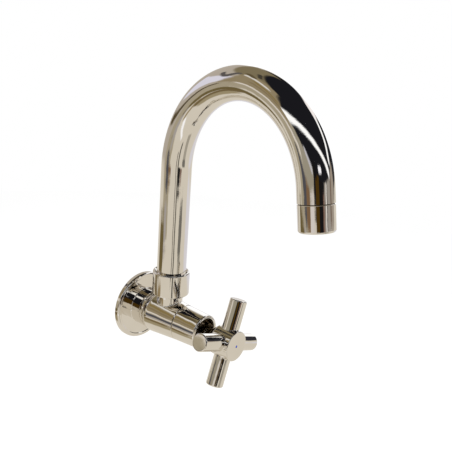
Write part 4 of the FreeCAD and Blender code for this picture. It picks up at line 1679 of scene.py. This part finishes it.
@dataclass(frozen=True)
class Studio:
    """Pale floor, soft light, and the cards that polished metal needs to look polished."""

    middle: tuple[float, float, float] = (0.0, -0.06, 0.11)
    floor_height: float = -0.25
    floor_radius: float = 1.5
    floor_pale: Colour = (0.80, 0.78, 0.74)
    shown_white: float = 0.99
    shown_glow: float = 0.1
    soft_level: float = 0.86
    key_spot: tuple[float, float, float] = (-0.75, -1.05, 1.25)
    key_size: float = 1.1
    key_power: float = 9.5
    card_distance: float = 1.6
    sheet_colour: Colour = (0.76, 0.71, 0.62)
    dark_colour: Colour = (0.012, 0.012, 0.016)
    sheet_edge: float = -2.5
    sheet_fade: float = 3.0
    screen_lift: float = 0.01

    def build(self) -> None:
        """Sets up the world, the floor, the lamp and the cards."""
        bpy.context.scene.view_settings.view_transform = "Standard"
        self.world()
        self.floor()
        self.key_lamp()
        self.cards()

    def seen_directly(self, graph: Graph) -> Socket:
        """Value that is 1 where the camera, polished metal or glass sees a thing."""
        rays = graph.add("ShaderNodeLightPath")
        shown = graph.math("MAXIMUM", rays.outputs["Is Camera Ray"], rays.outputs["Is Glossy Ray"])
        return graph.math("MAXIMUM", shown, rays.outputs["Is Transmission Ray"])

    def world(self) -> None:
        """White where it is seen, and a soft plain level where it lights."""
        world = bpy.data.worlds.new("studio_world")
        world.use_nodes = True
        bpy.context.scene.world = world
        graph = Graph(world.node_tree)
        strength = graph.spread(self.seen_directly(graph), 0.0, 1.0, self.soft_level, 1.0)
        background = world.node_tree.nodes["Background"]
        background.inputs["Color"].default_value = (1.0, 1.0, 1.0, 1.0)
        graph.feed(background.inputs["Strength"], strength)

    def floor(self) -> None:
        """Round pale floor that shows white and still takes the faucet's shadow."""
        deselect_everything()
        bpy.ops.mesh.primitive_circle_add(vertices=96, radius=self.floor_radius, fill_type="NGON",
                                          location=(0, 0, self.floor_height))
        floor = bpy.context.object
        floor.name = "pale_floor"
        material, graph, shader, place = start_material("pale_floor")
        marks = SPECKLE.use(graph, place, Coarse_Scale=3.0, Fine_Scale=600.0)
        shown = graph.blend(marks["Coarse"], (self.shown_white,) * 3, (self.shown_white - 0.005,) * 3)
        seen = self.seen_directly(graph)
        graph.feed(shader.inputs["Base Color"], graph.blend(seen, self.floor_pale, shown))
        shader.inputs["Emission Color"].default_value = (1.0, 1.0, 1.0, 1.0)
        graph.feed(shader.inputs["Emission Strength"], graph.math("MULTIPLY", seen, self.shown_glow))
        shader.inputs["Roughness"].default_value = 0.9
        shader.inputs["Specular IOR Level"].default_value = 0.0
        floor.data.materials.append(material)

    def key_lamp(self) -> None:
        """One large soft lamp from the upper left front."""
        light = bpy.data.lights.new("key_lamp", "AREA")
        light.shape = "DISK"
        light.size = self.key_size
        light.energy = self.key_power
        lamp = bpy.data.objects.new("key_lamp", light)
        lamp.location = self.key_spot
        aim = Vector(self.middle) - Vector(self.key_spot)
        lamp.rotation_euler = aim.to_track_quat("-Z", "Y").to_euler()
        lamp.visible_glossy = False
        bpy.context.scene.collection.objects.link(lamp)

    def cards(self) -> None:
        """Round screen of cards and lamps that only polished surfaces see."""
        deselect_everything()
        bpy.ops.mesh.primitive_uv_sphere_add(segments=360, ring_count=180, radius=self.card_distance)
        screen = bpy.context.object
        screen.name = screen.data.name = "card_screen"
        points = coordinates(screen)
        ways = points / np.linalg.norm(points, axis=1)[:, None]
        drop = (self.middle[2] - self.floor_height - self.screen_lift) / self.card_distance
        low = ways[:, 2] < -drop
        points[low] *= (drop / -ways[low, 2])[:, None]
        set_coordinates(screen, points + np.array(self.middle))
        shade = np.ones((len(points), 4))
        shade[:, :3] = self.card_colours(ways)
        layer = screen.data.color_attributes.new("cards", "FLOAT_COLOR", "POINT")
        layer.data.foreach_set("color", shade.ravel())
        bpy.ops.object.shade_smooth()
        material = bpy.data.materials.new("studio_cards")
        material.use_nodes = True
        tree = material.node_tree
        tree.nodes.clear()
        graph = Graph(tree)
        colour = graph.add("ShaderNodeAttribute", attribute_name="cards").outputs["Color"]
        glow = graph.add("ShaderNodeEmission", inputs={"Color": colour})
        graph.add("ShaderNodeOutputMaterial", inputs={"Surface": glow.outputs[0]})
        material.cycles.emission_sampling = "NONE"
        screen.data.materials.append(material)
        screen.visible_camera = screen.visible_diffuse = False
        screen.visible_transmission = screen.visible_volume_scatter = screen.visible_shadow = False

    def card_colours(self, ways: np.ndarray) -> np.ndarray:
        """Colour of the screen in each direction.

        Args:
            ways: Directions from the middle, one in each row.

        Returns:
            Linear colours, one in each row.
        """
        height = np.degrees(np.arcsin(np.clip(ways[:, 2], -1, 1)))
        dark = eased((height - self.sheet_edge) / self.sheet_fade)[:, None]
        colours = (1 - dark) * np.array(self.sheet_colour) + dark * np.array(self.dark_colour)
        for card in CARDS.values():
            cover = card.cover(ways)[:, None]
            colours = (1 - cover) * colours + cover * np.array(card.colour)
        return colours


# ---- assembly -------------------------------------------------------------------------------------------
CARRIED: dict[str, tuple[str, Place]] = {
    "flange_o_ring": ("seal_rubber", Place.BODY),
    "inlet_washer": ("fibre_washer", Place.BODY),
    # the cartridge body and spindle take brass with painted shade, darkened so the sleeve's recess reads dark
    "cartridge_body": ("painted_shade_brass", Place.BODY),
    "cartridge_body_o_ring": ("seal_rubber", Place.BODY),
    "cartridge_fixed_disc": ("disc_ceramic", Place.BODY),
    "cartridge_moving_disc": ("disc_ceramic", Place.BODY),
    "cartridge_seat_seal": ("seal_rubber", Place.BODY),
    "cartridge_spindle": ("painted_shade_brass", Place.BODY),
    "spindle_o_rings": ("seal_rubber", Place.BODY),
    "spindle_thrust_washer": ("slip_plastic", Place.BODY),
    "spindle_circlip": ("plain_steel", Place.BODY),
    "collar_slip_ring": ("slip_plastic", Place.STEM),
    "spout_tail": ("bare_brass", Place.STEM),
    "spout_o_rings": ("seal_rubber", Place.STEM),
    "aerator_washer": ("seal_rubber", Place.MOUTH),
    "aerator_strainer": ("plain_steel", Place.MOUTH),
    "aerator_insert": ("aerator_plastic", Place.MOUTH),
}


def finish_for(slot: str, stand: Place) -> bpy.types.Material:
    """Gives the material of a slot, turned to a piece's own axis where its marks follow that axis.

    Args:
        slot: The record's material slot.
        stand: The frame of the piece.

    Returns:
        The material, built the first time it is asked for.
    """
    moulded = {finish.name: finish for finish in (RUBBER, FIBRE, CERAMIC, ACETAL, JET_PLASTIC, ENAMEL)}
    if slot in moulded:
        finish, name = moulded[slot], slot
    else:
        finish = {
            "polished_plate": PolishedPlate(stand),
            "bare_brass": TurnedMetal(stand),
            # painted shade: brass darkened to near black-brown so the cartridge and spindle read as shaded
            # deep in the sleeve's recess
            "painted_shade_brass": TurnedMetal(
                stand, "painted_shade_brass", (0.22, 0.18, 0.13), (0.11, 0.09, 0.06), 0.3, 0.5),
            # painted shade: near-black brass that stands in for the shade inside the outlet's groove
            "painted_groove_shade_brass": TurnedMetal(
                stand, "painted_groove_shade_brass", (0.10, 0.08, 0.06), (0.05, 0.04, 0.03), 0.45, 0.6),
            "plain_steel": TurnedMetal(
                stand, "plain_steel", (0.58, 0.58, 0.57), (0.44, 0.43, 0.42), 0.22, 0.4),
        }[slot]
        name = f"{finish.name}_{stand.value}"
    return bpy.data.materials.get(name) or finish.material()


def dress_carried_nodes() -> None:
    """Gives each CAD node that stays its own finish."""
    for name, (slot, stand) in CARRIED.items():
        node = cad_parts[name]
        material = finish_for(slot, stand)
        if not node.material_slots:
            node.data.materials.append(material)
        for place in node.material_slots:
            place.material = material


def note_sizes() -> None:
    """Updates the view layer."""
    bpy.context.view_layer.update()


def main() -> None:
    """Builds the faucet piece by piece, then the studio round it."""
    logging.basicConfig(level=logging.INFO, format="%(name)s: %(message)s")
    parts: list[Part] = [
        InletNipple(),
        WallFlange(),
        ValveBody(),
        BonnetSleeve(),
        SpoutCollar(),
        CrossHandle(),
        IndexDot(),
        GrubScrew(),
        SpoutTube(),
        OutletNipple(),
        AeratorHousing(),
        WovenScreen(),
    ]
    for part in parts:
        part.fit()
    dress_carried_nodes()
    PhotoCamera().place()
    Studio().build()
    note_sizes()


if __name__ == "__main__":
    main()
